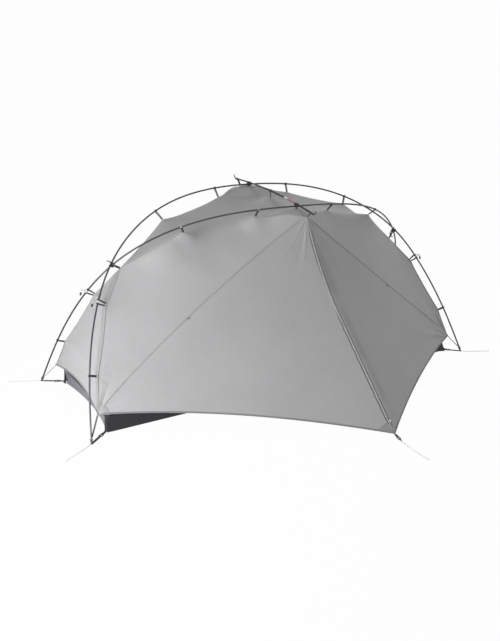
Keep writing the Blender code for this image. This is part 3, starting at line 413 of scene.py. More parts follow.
# Noises of the surfaces: scale, detail and roughness
CLOUDS = (2.2, 4.0, 0.6)
CLOTH_SPECKS = (38.0, 3.0, 0.6)
CLOTH_THREADS = (260.0, 2.0, 0.6)
WEBBING_GRAIN = (420.0, 2.0, 0.5)
METAL_LINES = (9.0, 3.0, 0.6)
METAL_WEAR = (14.0, 4.0, 0.7)
METAL_STRETCH = (4.0, 4.0, 120.0)
PLASTIC_GRAIN = (900.0, 2.0, 0.5)
PLASTIC_SCUFFS = (60.0, 4.0, 0.7)
CRINKLE_DETAIL = (4.0, 0.62)
RIB_PITCH = 0.0007
STITCH_PITCH = 0.0032
STITCH_HALF = 0.00035
STITCH_PLACE = 0.36
BRAID_ALONG = 520.0
BRAID_AROUND = 6.0


def unit(vector):
    vector = np.asarray(vector, float)
    return vector / np.linalg.norm(vector)


def rows_unit(vectors):
    return vectors / np.linalg.norm(vectors, axis=1)[:, None]


def square_to(vector, axis):
    """The direction of the part of a vector that is square to an axis."""
    return unit(vector - axis * (vector @ axis))


def on_side(points, side):
    """Points of the front half, or their mirror image in the rear half."""
    return np.asarray(points, float) * (1.0, -side, 1.0)


def smoothstep(low, high, value):
    share = np.clip((value - low) / (high - low), 0.0, 1.0)
    return share * share * (3.0 - 2.0 * share)


def distance(points, place):
    return np.linalg.norm(points - place, axis=-1)


def between(start, end, count):
    """Points at even shares of the way from start to end."""
    return start + (end - start) * np.linspace(0.0, 1.0, count)[:, None]


def bow(shares):
    """None at both ends and one in the middle."""
    return 4 * shares * (1 - shares)


def lengths(line):
    """How far along a line each of its points lies."""
    return np.concatenate([[0.0], np.cumsum(np.linalg.norm(np.diff(line, axis=0), axis=1))])


def paired(first, second):
    return np.stack(np.meshgrid(first, second, indexing="ij"), axis=-1)


def round_turns(count):
    return np.linspace(0.0, 2 * math.pi, count, endpoint=False)


def spokes(turns, first, second):
    """Directions that turn from the first towards the second."""
    return np.outer(np.cos(turns), first) + np.outer(np.sin(turns), second)


class Route:
    """A natural cubic curve through points, read by its length."""

    def __init__(self, knots):
        self.knots = np.asarray(knots, float)
        self.at = lengths(self.knots)
        count = len(self.at)
        system = np.eye(count)
        right = np.zeros((count, 3))
        for i in range(1, count - 1):
            before = self.at[i] - self.at[i - 1]
            after = self.at[i + 1] - self.at[i]
            system[i, i - 1 : i + 2] = (before, 2 * (before + after), after)
            rise = (self.knots[i + 1] - self.knots[i]) / after
            right[i] = 6 * (rise - (self.knots[i] - self.knots[i - 1]) / before)
        self.bend = np.linalg.solve(system, right)
        self.length = float(self.at[-1])

    def point(self, s):
        s = min(max(s, 0.0), self.length)
        i = min(int(np.searchsorted(self.at, s, side="right")) - 1, len(self.at) - 2)
        width = self.at[i + 1] - self.at[i]
        a = (self.at[i + 1] - s) / width
        b = (s - self.at[i]) / width
        curve = ((a**3 - a) * self.bend[i] + (b**3 - b) * self.bend[i + 1]) * width**2 / 6
        return a * self.knots[i] + b * self.knots[i + 1] + curve

    def tangent(self, s):
        return unit(self.point(s + 0.002) - self.point(s - 0.002))

    def points(self, start, end, step):
        count = max(2, int(math.ceil(abs(end - start) / step)) + 1)
        return np.array([self.point(s) for s in np.linspace(start, end, count)])


def pole_route(side):
    """The pole that has both its feet on that side. Where they cross, the rear one passes underneath."""
    shift = (POLE_RADIUS + FIT_GAP) * -side
    knots = on_side(POLE_ROUTE, side)
    for crossing in (FOOT_CROSSING, HEAD_CROSSING):
        here = knots[crossing]
        knots[crossing] = here + unit((here[0], 0.0, here[2] - INSIDE[2])) * shift
    return Route(knots)


def pole_end(side, end):
    """A pole's bottom point at one end, and the point where its metal tip ends inside the tube."""
    route = pole_route(side)
    stations = (0.0, TIP_SOCKET) if end == "foot" else (route.length, route.length - TIP_SOCKET)
    return [route.point(s) for s in stations]


def ridge_route():
    ridge = POLE_ROUTE[RIDGE_KNOT]
    reach = ridge[1] + RIDGE_OVERHANG
    top = ridge[2] + 2 * POLE_RADIUS + 2 * FIT_GAP + RIDGE_BOW * (ridge[1] / reach) ** 2
    rows = np.linspace(-reach, reach, RIDGE_KNOTS)
    return Route([(ridge[0], y, top - RIDGE_BOW * (y / reach) ** 2) for y in rows])


def inward(point, tangent):
    """The direction square to a line that points into the tent."""
    return square_to(INSIDE - point, tangent)


def anchors():
    """Where the clips hold the fly in the front half."""
    found = {}
    plain = Route(POLE_ROUTE)
    for name, (knot, reach, shift) in CLIPS.items():
        station = plain.at[knot] + reach
        place = plain.point(station)
        fly = place + inward(place, plain.tangent(station)) * CLIP_DROP
        found[name] = np.array((fly[0], -abs(fly[1]), fly[2])) + shift
    for end, (knot, drop, shift) in CROSSINGS.items():
        place = np.array(POLE_ROUTE[knot])
        level = unit(plain.tangent(plain.at[knot]) * (1.0, 0.0, 1.0))
        towards = (INSIDE - place) * (1.0, 0.0, 1.0)
        found[end + "_crossing"] = place + square_to(towards, level) * drop + shift
    ridge = np.array(POLE_ROUTE[RIDGE_KNOT])
    found["peak"] = np.array((ridge[0], -ridge[1] - PEAK_OUT, ridge[2] - PEAK_DROP))
    for end, knot in (("foot", FOOT_END), ("head", HEAD_END)):
        found[end + "_corner"] = np.array(POLE_ROUTE[knot]) + CORNER_SHIFTS[end]
    found["stake"] = STAKE
    return found


PLACES = anchors()


def show(item):
    bpy.context.scene.collection.objects.link(item)
    return item


def set_camera():
    camera = show(bpy.data.objects.new("camera", bpy.data.cameras.new("camera")))
    camera.location = CAMERA_PLACE
    camera.rotation_euler = [math.radians(a) for a in CAMERA_TURN]
    camera.data.lens = CAMERA_LENS
    camera.data.sensor_width = CAMERA_SENSOR
    camera.data.clip_end = CAMERA_FAR
    bpy.context.scene.camera = camera


# Materials


def feed(tree, socket, value):
    if isinstance(value, bpy.types.NodeSocket):
        tree.links.new(value, socket)
    else:
        socket.default_value = value


def wire(tree, kind, inputs=None, **settings):
    """Adds a node. Inputs are numbers, colours or other nodes' outputs, by the socket's name or number."""
    node = tree.nodes.new(kind)
    for name, value in settings.items():
        setattr(node, name, value)
    for name, value in (inputs or {}).items():
        feed(tree, node.inputs[name], value)
    return node


def calc(tree, term):
    """Math nodes for a nested term, such as ("ADD", output, ("MULTIPLY", output, 2.0))."""
    if not isinstance(term, tuple):
        return term
    inputs = {k: calc(tree, value) for k, value in enumerate(term[1:])}
    return wire(tree, "ShaderNodeMath", inputs, operation=term[0]).outputs["Value"]


def shade(colour, gain, lift=0.0):
    return tuple(min(1.0, c * gain + lift) for c in colour)


class Look:
    """A material whose colour, roughness and bumps are wired from noises and sums."""

    def __init__(self, name, metallic=0.0, sheen=0.0, sheen_roughness=0.4):
        self.material = bpy.data.materials.new(name)
        self.material.use_nodes = True
        self.tree = self.material.node_tree
        self.shader = self.tree.nodes["Principled BSDF"]
        self.give(Metallic=metallic, Sheen_Weight=sheen, Sheen_Roughness=sheen_roughness)
        self.normal = None

    def give(self, **sockets):
        for label, value in sockets.items():
            feed(self.tree, self.shader.inputs[label.replace("_", " ")], value)

    def cloth_axes(self):
        flat = wire(self.tree, "ShaderNodeUVMap", uv_map="cloth").outputs["UV"]
        split = wire(self.tree, "ShaderNodeSeparateXYZ", {"Vector": flat})
        return split.outputs["X"], split.outputs["Y"]

    def noise(self, scale, detail, roughness, stretch=None):
        place = wire(self.tree, "ShaderNodeTexCoord").outputs["Object"]
        if stretch:
            inputs = {"Vector": place, "Scale": stretch}
            place = wire(self.tree, "ShaderNodeMapping", inputs).outputs["Vector"]
        inputs = {"Vector": place, "Scale": scale, "Detail": detail, "Roughness": roughness}
        return wire(self.tree, "ShaderNodeTexNoise", inputs).outputs["Fac"]

    def calc(self, *term):
        return calc(self.tree, term)

    def ramp(self, fac, *stops):
        node = wire(self.tree, "ShaderNodeValToRGB", {"Fac": fac})
        elements = node.color_ramp.elements
        while len(elements) < len(stops):
            elements.new(0.5)
        for element, (place, colour) in zip(elements, stops):
            element.position = place
            element.color = (*colour, 1.0)
        return node.outputs["Color"]

    def remap(self, value, low, high, to_low, to_high):
        inputs = {"Value": value, "From Min": low, "From Max": high, "To Min": to_low, "To Max": to_high}
        return wire(self.tree, "ShaderNodeMapRange", inputs).outputs["Result"]

    def mix(self, share, first, second, blend="MIX"):
        inputs = {0: share, 6: first, 7: (*second, 1.0)}
        return wire(self.tree, "ShaderNodeMix", inputs, data_type="RGBA", blend_type=blend).outputs[2]

    def bump(self, height, distance, strength):
        inputs = {"Height": height, "Distance": distance, "Strength": strength}
        if self.normal is not None:
            inputs["Normal"] = self.normal
        self.normal = wire(self.tree, "ShaderNodeBump", inputs).outputs["Normal"]
        self.give(Normal=self.normal)


def ripstop(name, colour, roughness, pitch=0.0055, crinkle=0.0012, crinkle_scale=26.0, sheen=0.12):
    """Fine threads, a grid of thicker ones, and crinkles."""
    look = Look(name, sheen=sheen, sheen_roughness=0.45)
    specks = look.noise(*CLOTH_SPECKS)
    mixed = look.calc("ADD", ("MULTIPLY", look.noise(*CLOUDS), 0.75), ("MULTIPLY", specks, 0.25))
    lines = []
    for axis in look.cloth_axes():
        off = look.calc("ABSOLUTE", ("SUBTRACT", ("FRACT", ("DIVIDE", axis, pitch)), 0.5))
        lines.append(look.remap(off, 0.0, 0.09, 1.0, 0.0))
    grid = look.calc("MAXIMUM", *lines)
    base = look.ramp(mixed, (0.30, shade(colour, 0.93)), (0.70, shade(colour, 1.06)))
    look.give(Base_Color=look.mix(look.calc("MULTIPLY", grid, 0.10), base, (0.55, 0.55, 0.55), "MULTIPLY"))
    look.give(Roughness=look.remap(specks, 0.3, 0.7, roughness - 0.06, roughness + 0.08))
    look.bump(look.noise(crinkle_scale, *CRINKLE_DETAIL), crinkle, 0.75)
    look.bump(look.noise(*CLOTH_THREADS), 0.00012, 0.6)
    look.bump(grid, 0.00012, 0.5)
    return look.material


def webbing(name, colour, roughness=0.72, width=STRAP_WIDTH):
    """A flat woven tape: ribs across it and a row of stitches near each edge."""
    look = Look(name, sheen=0.25)
    along, across = look.cloth_axes()
    rib = look.calc("DIVIDE", ("PINGPONG", along, RIB_PITCH), RIB_PITCH)
    grain = look.noise(*WEBBING_GRAIN)
    edge = ("ABSOLUTE", ("SUBTRACT", ("ABSOLUTE", across), width * STITCH_PLACE))
    dash = ("GREATER_THAN", ("FRACT", ("DIVIDE", along, STITCH_PITCH)), 0.32)
    stitch = look.calc("MULTIPLY", dash, ("LESS_THAN", edge, STITCH_HALF))
    woven = look.calc("ADD", ("MULTIPLY", rib, 0.5), ("MULTIPLY", grain, 0.5))
    base = look.ramp(woven, (0.2, shade(colour, 0.75)), (0.8, shade(colour, 1.25)))
    look.give(Base_Color=look.mix(stitch, base, shade(colour, 1.5, 0.02)))
    look.give(Roughness=look.remap(grain, 0.3, 0.7, roughness - 0.07, roughness + 0.07))
    look.bump(rib, 0.0002, 0.7)
    look.bump(stitch, 0.0004, 0.8)
    return look.material


def metal(name, colour, roughness, metallic, spread=0.05):
    """Anodised tube or turned alloy with faint drawing lines, and rubbed places."""
    look = Look(name, metallic)
    lines = look.noise(*METAL_LINES, METAL_STRETCH)
    rubbed = (0.80, shade(colour, 1.6, 0.02))
    stops = ((0.30, shade(colour, 0.86)), (0.62, shade(colour, 1.14)), rubbed)
    look.give(Base_Color=look.ramp(look.noise(*METAL_WEAR), *stops))
    look.give(Roughness=look.remap(lines, 0.3, 0.7, roughness - spread, roughness + spread))
    look.bump(lines, 0.00005, 0.4)
    return look.material


def plastic(name, colour, roughness=0.42):
    """Moulded plastic with a fine spark-eroded grain and scuffs."""
    look = Look(name)
    scuffs = look.noise(*PLASTIC_SCUFFS)
    look.give(Base_Color=look.ramp(scuffs, (0.35, shade(colour, 0.85)), (0.75, shade(colour, 1.35, 0.004))))
    look.give(Roughness=look.remap(scuffs, 0.3, 0.7, roughness - 0.06, roughness + 0.10))
    look.bump(look.noise(*PLASTIC_GRAIN), 0.00006, 0.5)
    return look.material


def braid(name, colour, fleck):
    """A braided sheath: slanting strands, with a thin tracer thread."""
    look = Look(name, sheen=0.2)
    length, turn = look.cloth_axes()
    along = look.calc("MULTIPLY", length, BRAID_ALONG)
    around = look.calc("MULTIPLY", turn, BRAID_AROUND)
    strands = look.calc("MAXIMUM", *(("PINGPONG", (way, along, around), 0.5) for way in ("ADD", "SUBTRACT")))
    tracer = look.calc("GREATER_THAN", ("FRACT", ("ADD", ("DIVIDE", along, 6.0), turn)), 0.88)
    base = look.ramp(strands, (0.15, shade(colour, 0.72)), (0.45, colour))
    look.give(Base_Color=look.mix(tracer, base, fleck))
    look.give(Roughness=look.remap(strands, 0.0, 0.5, 0.85, 0.7))
    look.bump(strands, 0.0003, 0.8)
    return look.material


SURFACES = {
    "fly": ripstop("fly_ripstop", (0.413, 0.405, 0.415), 0.56),
    "binding": webbing("hem_binding", (0.225, 0.22, 0.225), 0.66, 0.010),
    "tape": webbing("seam_tape", (0.385, 0.378, 0.382), 0.60, 0.011),
    "floor_end": ripstop("floor_end_wall", (0.135, 0.130, 0.162), 0.45, 0.0075, 0.0016, 17.0, 0.05),
    "floor": ripstop("floor_coated", (0.0105, 0.010, 0.0145), 0.56, 0.0075, 0.0016, 17.0, 0.0),
    "inner": ripstop("inner_breathable", (0.33, 0.325, 0.34), 0.68, 0.0030, 0.0010, 30.0, 0.22),
    "webbing": webbing("webbing_black", (0.022, 0.022, 0.024)),
    "edging": webbing("edging_grey", (0.15, 0.147, 0.155), 0.62, 0.012),
    "patch": ripstop("patch_ripstop", (0.285, 0.278, 0.285), 0.56),
    "pole": metal("pole_anodised", (0.060, 0.060, 0.066), 0.34, 0.75, 0.07),
    "ridge": metal("ridge_black", (0.012, 0.012, 0.013), 0.50, 0.15),
    "red": metal("ridge_red", (0.40, 0.165, 0.17), 0.45, 0.15),
    "alloy": metal("alloy_bright", (0.50, 0.50, 0.52), 0.32, 0.92),
    "plastic": plastic("clip_plastic", (0.024, 0.024, 0.026)),
    "coil": plastic("zip_coil", (0.055, 0.053, 0.056), 0.38),
    "cord": braid("cord_braid", (0.74, 0.735, 0.73), (0.30, 0.30, 0.32)),
    "cord_dark": braid("cord_braid_dark", (0.045, 0.045, 0.048), (0.20, 0.20, 0.21)),
}


# Mesh building


class Build:
    """Grids and solids gathered into one mesh, each corner with its place on the cloth in metres."""

    def __init__(self, *surfaces):
        self.surfaces = surfaces
        self.points, self.faces, self.uvs, self.slots = [], [], [], []

    def grid(self, grid, surface=0, uv=None, wrap=False):
        """Adds a grid of points. uv is a matching grid of places on the cloth."""
        rows, columns = grid.shape[:2]
        base = len(self.points)
        self.points += [tuple(p) for p in grid.reshape(-1, 3)]
        flat = (measured(grid) if uv is None else uv).reshape(-1, 2)
        for i in range(rows - 1):
            for j in range(columns if wrap else columns - 1):
                k = (j + 1) % columns
                corners = (i * columns + j, (i + 1) * columns + j, (i + 1) * columns + k, i * columns + k)
                self.faces.append([base + c for c in corners])
                self.uvs.append([tuple(flat[c]) for c in corners])
                self.slots.append(surface)

    def fan(self, ring, surface=0):
        """Closes a ring of points with one face."""
        base = len(self.points)
        self.points += [tuple(p) for p in ring]
        self.faces.append(list(range(base, base + len(ring))))
        self.uvs.append([(p[0], p[1]) for p in ring])
        self.slots.append(surface)

    def bar(self, grid, surface=0, uv=None):
        """A closed round of rings with a face at each end."""
        self.grid(grid, surface, uv, wrap=True)
        self.fan(grid[0], surface)
        self.fan(grid[-1], surface)

    def object(self, name, weld=1e-6, outwards=None, sharp=None):
        mesh = bpy.data.meshes.new(name)
        mesh.from_pydata(self.points, [], self.faces)
        for surface in self.surfaces:
            mesh.materials.append(SURFACES[surface])
        mesh.polygons.foreach_set("material_index", self.slots)
        layer = mesh.uv_layers.new(name="cloth")
        layer.data.foreach_set("uv", [c for face in self.uvs for uv in face for c in uv])
        shaped = bmesh.new()
        shaped.from_mesh(mesh)
        bmesh.ops.remove_doubles(shaped, verts=shaped.verts, dist=weld)
        bmesh.ops.dissolve_degenerate(shaped, edges=shaped.edges, dist=weld)
        bmesh.ops.recalc_face_normals(shaped, faces=shaped.faces)
        if outwards is not None:
            centres = [np.subtract(f.calc_center_median(), outwards) for f in shaped.faces]
            if sum(f.calc_area() * np.dot(f.normal, c) for f, c in zip(shaped.faces, centres)) < 0:
                bmesh.ops.reverse_faces(shaped, faces=shaped.faces)
        shaped.to_mesh(mesh)
        shaped.free()
        mesh.shade_smooth()
        if sharp is not None:
            mesh.set_sharp_from_angle(angle=math.radians(sharp))
        return show(bpy.data.objects.new(name, mesh))

    def hardware(self, node, suffix, slot, sharp=50):
        """The piece that replaces one small solid."""
        return settle(self.object(node + suffix, sharp=sharp), frame["nodes"][node]["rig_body"], slot, node)


def settle(item, body, slot, *nodes):
    """Puts a piece on the body that carries it and hides the solids that it replaces. The slot is not used.
    """
    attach(item, body)
    if nodes:
        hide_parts(*nodes)
    return item


def measured(grid):
    """Lengths along the middle column and row of a grid, as places on the cloth."""
    rows, columns = grid.shape[:2]
    across = lengths(grid[rows // 2])
    return paired(lengths(grid[:, columns // 2]), across - across[-1] / 2)


def projected(grid, first, second):
    """Places on the cloth read along two directions."""
    return np.stack([grid @ np.asarray(first), grid @ np.asarray(second)], axis=-1)


def frames_along(line, up):
    """The directions up and sideways that are square to a line, at each of its points."""
    tangents = rows_unit(np.gradient(np.asarray(line, float), axis=0))
    up = np.broadcast_to(np.asarray(up, float), tangents.shape)
    up = rows_unit(up - tangents * np.sum(up * tangents, axis=1)[:, None])
    return up, np.cross(tangents, up)


def carried(line, up, across, lifts):
    """A grid with one row for each point of a line, by the offsets across it and along up."""
    lift, side = frames_along(line, up)
    return np.asarray(line)[:, None] + side[:, None] * across[..., None] + lift[:, None] * lifts[..., None]


def tube(build, line, radius, surface=0, sides=12, up=UPWARDS):
    """A round tube. radius is one number or one for each point."""
    line = np.asarray(line)
    turns = round_turns(sides)
    sizes = np.broadcast_to(np.asarray(radius, float), (len(line),))[:, None]
    if abs(unit(line[1] - line[0]) @ unit(up)) > 0.9:
        up = LENGTHWISE
    grid = carried(line, up, sizes * np.cos(turns), sizes * np.sin(turns))
    build.bar(grid, surface, paired(lengths(line), np.arange(sides) / sides))


def bent_bar(build, knots, radii, sides, up):
    """A smooth bar through a few points, thinner towards its end."""
    bend = Route(knots)
    line = bend.points(0.0, bend.length, BEND_STEP)
    tube(build, line, np.linspace(*radii, len(line)), 0, sides, up)


RIBBON_ACROSS = np.array((-0.5, -0.47, -0.40, 0.40, 0.47, 0.5, 0.47, 0.40, -0.40, -0.47))
RIBBON_LIFTS = np.array((0.0, 0.42, 0.5, 0.5, 0.42, 0.0, -0.42, -0.5, -0.5, -0.42))


def ribbon(build, line, up, width, thick, surface=0):
    """A flat tape with rounded edges. width is one number or one for each point."""
    widths = np.broadcast_to(np.asarray(width, float), (len(line),))
    grid = carried(line, up, widths[:, None] * RIBBON_ACROSS, RIBBON_LIFTS * thick)
    build.bar(grid, surface, paired(lengths(line), RIBBON_ACROSS * widths.max()))


def doubled(build, top, foot, across, spreads, count, width, thick, surface=1):
    """Two layers of webbing that come closer together towards the foot."""
    spread = np.linspace(*spreads, count)[:, None]
    for layer in (-1, 1):
        ribbon(build, between(top, foot, count) + across * layer * spread, across, width, thick, surface)


def rounded_box(build, centre, axes, sizes, surface=0, round_share=0.28, rings=4, power=0.45):
    """A moulded block with rounded corners, as a soft square swept along its first axis."""
    first, second, third = (unit(a) for a in axes)
    soft = spokes(round_turns(24), (1.0, 0.0), (0.0, 1.0))
    shape = np.sign(soft) * np.abs(soft) ** power
    edge = round_share * min(sizes)
    turns = np.linspace(0.0, math.pi / 2, rings + 1)
    stations = -0.5 * sizes[0] + edge * (1 - np.cos(turns))
    insets = edge * (1 - np.sin(turns))
    rows = []
    for station, inset in [*zip(stations, insets), *zip(-stations[::-1], insets[::-1])]:
        across = shape[:, :1] * (sizes[1] / 2 - inset) * second
        rows.append(centre + first * station + across + shape[:, 1:] * (sizes[2] / 2 - inset) * third)
    build.bar(np.array(rows), surface)


def lathe(build, origin, axis, profile, surface=0, sides=24):
    """A turned piece: (reach, radius) pairs along an axis, closed at both ends."""
    axis = unit(axis)
    first = unit(np.cross(axis, UPWARDS if abs(axis[2]) < 0.9 else LENGTHWISE))
    rim = spokes(round_turns(sides), first, np.cross(axis, first))
    build.bar(np.array([origin + axis * reach + rim * radius for reach, radius in profile]), surface)


def closed_tube(build, ring, radius, surface=0, sides=10):
    """A round bar bent into a closed ring."""
    loop = np.concatenate([ring[-1:], ring, ring[:2]])
    normal = unit(np.cross(ring[len(ring) // 4] - ring[0], ring[len(ring) // 2] - ring[0]))
    turns = round_turns(sides)
    grid = carried(loop, normal, radius * np.cos(turns), radius * np.sin(turns))
    build.grid(grid[1:-1], surface, wrap=True)


def rounded_ring(centre, first, second, wide, tall, corner, steps=5):
    """The points of a rectangle with round corners."""
    points = []
    for sx, sy, start in ((1, 1, 0.0), (-1, 1, 0.5), (-1, -1, 1.0), (1, -1, 1.5)):
        middle = centre + first * sx * (wide / 2 - corner) + second * sy * (tall / 2 - corner)
        turns = np.linspace(start * math.pi, (start + 0.5) * math.pi, steps)
        points.append(middle + spokes(turns, first, second) * corner)
    return np.concatenate(points)


# Cords first


def build_cord(name, knots):
    route = Route(knots)
    line = np.array([route.point(route.length * i / CORD_POINTS) for i in range(CORD_POINTS + 1)])
    sheath = Build("cord")
    tube(sheath, line, CORD_RADIUS, sides=10)
    item = sheath.hardware(name, "_braid", "cord", None)
    along = unit(line[-1] - line[-2])
    side = unit(np.cross(UPWARDS, along))
    turns = np.linspace(0.0, 2 * math.pi * KNOT_TURNS, KNOT_POINTS)[:, None]
    coil = line[-1] + along * (0.0012 - 0.0028 * turns / turns[-1])
    coil = coil + side * np.cos(turns) * 0.0021 + UPWARDS * (np.sin(turns) * 0.0011 + 0.0012)
    knot = Build("cord")
    tube(knot, coil, CORD_RADIUS, sides=8)
    tied = settle(knot.object(name + "_knot"), frame["nodes"][name]["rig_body"], "cord")
    tuple(knots[0])


set_camera()
for cord_name, cord_knots in STAKE_CORDS.items():
    build_cord(cord_name, cord_knots)


# Cloth shapes


def hung(start, end, count, pull):
    """Points from start to end, drawn along pull between them."""
    return between(start, end, count) + pull * bow(np.linspace(0.0, 1.0, count)[:, None])


def chain(names, counts, sags):
    """A line through held places that sags towards the inside of the tent between them."""
    line = [PLACES[names[0]][None]]
    for first, last, count, sag in zip(names, names[1:], counts, sags):
        start, end = PLACES[first], PLACES[last]
        pull = inward((start + end) / 2, unit(end - start)) * sag * np.linalg.norm(end - start)
        line.append(hung(start, end, count * FINE + 1, pull)[1:])
    return np.concatenate(line)


def evenly(line, count):
    """Points at even lengths along a fine line."""
    steps = lengths(line)
    wanted = np.linspace(0.0, steps[-1], count + 1)
    return np.stack([np.interp(wanted, steps, line[:, k]) for k in range(3)], axis=1)


def zip_line(count):
    """From the peak down the hanging part, then straight to the stake corner."""
    t = np.linspace(0.0, 1.0, 200)[:, None]
    hanging = PLACES["peak"] * (1 - t) ** 2 + ZIP_LEAD * 2 * t * (1 - t) + ZIP_BEND * t * t
    return evenly(np.concatenate([hanging, between(ZIP_BEND, STAKE, 200)[1:]]), count)


def ruled(left, right, columns, hem=None):
    """Rows from a left line to a right line. The last row follows the hem, and its shape fades upwards."""
    shares = np.linspace(0.0, 1.0, columns + 1)[:, None]
    grid = left[:, None] * (1 - shares) + right[:, None] * shares
    if hem is not None:
        fade = np.linspace(0.0, 1.0, len(left))[:, None, None] ** 2
        grid = grid + (hem - grid[-1]) * fade
    return grid


def bowed_seam(end, count):
    """The seam from the peak to a lower corner. It bows away from the line that its door turns on."""
    straight = between(PLACES["peak"], PLACES[end + "_corner"], count + 1)
    away = SEAM_BOW[end] * np.sin(math.pi * np.linspace(0.0, 1.0, count + 1)) ** SEAM_BOW_POWER
    return straight + SEAM_SIDE[end] * away[:, None]


def stretched(grid, out):
    """Lets a panel find its level between its fixed edges. Its points move only along out."""
    height = grid @ out
    flat = grid - height[..., None] * out
    rows = np.linalg.norm(np.diff(flat, axis=0), axis=2) + 1e-4
    columns = np.linalg.norm(np.diff(flat, axis=1), axis=2) + 1e-4
    above, below = rows[:-1, 1:-1], rows[1:, 1:-1]
    left, right = columns[1:-1, :-1], columns[1:-1, 1:]
    weights = [
        1.0 / (above * (above + below)),
        1.0 / (below * (above + below)),
        1.0 / (left * (left + right)),
        1.0 / (right * (left + right)),
    ]
    total = sum(weights)
    for _ in range(STRETCH_PASSES):
        height[1:-1, 1:-1] = (
            height[:-2, 1:-1] * weights[0]
            + height[2:, 1:-1] * weights[1]
            + height[1:-1, :-2] * weights[2]
            + height[1:-1, 2:] * weights[3]
        ) / total
    return flat + height[..., None] * out


def hollowed(grid, depth, direction):
    """Draws the middle of a panel in, and leaves its four edges where they are."""
    rows, columns = (np.sin(math.pi * np.arange(n) / (n - 1)) for n in grid.shape[:2])
    return grid + np.outer(rows, columns)[..., None] * unit(direction) * depth


def fan_folds(points, apex, axes, spread, fan, another=0):
    """Creases that leave a held place like rays, each with its own length and depth."""
    count, reach, height, seed, width = fan
    chance = np.random.RandomState(seed + another)
    along, beside = ((points - apex) @ axis for axis in axes)
    away = np.hypot(along, beside)
    turn = np.arctan2(beside, along)
    total = np.zeros(points.shape[:-1])
    low, high = spread
    for k in range(count):
        angle = low + (high - low) * (k + 0.5 + chance.uniform(-0.3, 0.3)) / count
        far = reach * chance.uniform(0.55, 1.0)
        tall = height * chance.uniform(0.45, 1.0) * (1 if k % 2 == 0 else -0.8)
        broad = width * chance.uniform(0.8, 1.3) * (0.30 + 0.9 * away / reach)
        fade = smoothstep(0.0, 0.12 * far, away) * (1 - smoothstep(0.25 * far, far, away))
        total += tall * np.exp(-(((turn - angle) * away / broad) ** 2)) * fade
    return total


def line_fold(points, start, end, width, height, taper=0.25):
    """One soft ridge or valley between two places."""
    span = end - start
    share = ((points - start) @ span) / (span @ span)
    off = distance(points, start + np.clip(share, 0.0, 1.0)[..., None] * span)
    fade = smoothstep(0.0, taper, share) * (1 - smoothstep(1 - taper, 1.0, share))
    return height * np.exp(-((off / width) ** 2)) * fade


def plane_axes(end, along):
    """Two directions in a panel's plane: the given one, and the one square to it that points up."""
    first = square_to(along, PANEL_OUT[end])
    second = np.cross(PANEL_OUT[end], first)
    return first, second if second[2] > 0 else -second


def turn_of(towards, axes):
    return math.atan2(towards @ axes[1], towards @ axes[0])


def around(middle, half):
    return middle - half, middle + half


def front_folds(points, end):
    """How far each point of a front panel stands proud of its smooth shape."""
    corner, peak = PLACES[end + "_corner"], PLACES["peak"]
    axes = plane_axes(end, STAKE - corner)
    steepest = turn_of(PLACES[end + "_low"] - corner, axes)
    total = fan_folds(points, corner, axes, (0.05, steepest), CORNER_FAN[end])
    total += fan_folds(points, corner, axes, (0.3, steepest), CORNER_LONG_FAN[end])
    axes = plane_axes(end, STAKE - peak)
    low = turn_of(PLACES[end + "_roof"] - peak, axes)
    total += fan_folds(points, peak, axes, sorted((0.0, low)), PEAK_FAN[end])
    total += fan_folds(points, peak, axes, sorted((0.0, low * 0.5)), PEAK_LONG_FAN)
    total += fan_folds(points, STAKE, plane_axes(end, corner - STAKE), (0.08, 1.3), STAKE_FAN)
    for k, name in enumerate(("_roof", "_shoulder", "_guy", "_low", "_crossing")):
        place = PLACES[end + name]
        axes = plane_axes(end, (peak + corner + STAKE) / 3 - place)
        total += fan_folds(points, place, axes, around(0.0, 1.1), CLIP_FAN, k)
    for fold_end, start, stop, width, tall in LONG_FOLDS:
        if fold_end == end:
            total += line_fold(points, np.array(start), np.array(stop), width, tall)
    return total


def lifted(points):
    """The fly raised under the two places where the ridge pole's hooks hold it."""
    across = (points[..., 0] - BEAK[0]) / BEAK_REACH[0]
    along = (-np.abs(points[..., 1]) - BEAK[1]) / BEAK_REACH[1]
    found = np.array(points, float)
    found[..., 2] += BEAK_RISE * np.clip(1 - across**2 - along**2, 0.0, 1.0) ** 1.5
    return found


def beak(side, height):
    return np.array((BEAK[0], -BEAK[1] * side, height))


def roof_folds(points):
    """How far each point of the roof stands above its smooth shape."""
    level = (LENGTHWISE, BACKWARDS)
    everywhere = around(0.0, math.pi)
    total = ROOF_LIFT * np.exp(-(distance(points, ROOF_HOLD) ** 2) / ROOF_LIFT_WIDTH**2)
    total += fan_folds(points, ROOF_HOLD, level, everywhere, HOLD_FAN)
    for side in (FRONT, REAR):
        peak = on_side(PLACES["peak"], side)
        inner = around(0.5 * math.pi * -side, 1.2)
        total += line_fold(points, peak, ROOF_HOLD, *ROOF_TENT_FOLD)
        total += fan_folds(points, peak, level, inner, ROOF_PEAK_FAN)
        total += fan_folds(points, beak(side, peak[2]), level, everywhere, BEAK_FAN[side])
        for k, name in enumerate(("foot_roof", "foot_shoulder", "head_roof", "head_shoulder")):
            total += fan_folds(points, on_side(PLACES[name], side), level, inner, ROOF_CLIP_FAN, k)
    for name, turn in (("foot_crossing", 0.0), ("head_crossing", math.pi)):
        total += fan_folds(points, PLACES[name], level, around(turn, 0.5), ROOF_CROSSING_FAN)
    return total


def edge_mask(grid):
    """None along a grid's first and last columns, and one a little way in."""
    away = np.minimum(distance(grid, grid[:, :1]), distance(grid, grid[:, -1:]))
    return smoothstep(0.0, FOLD_MARGIN, away)


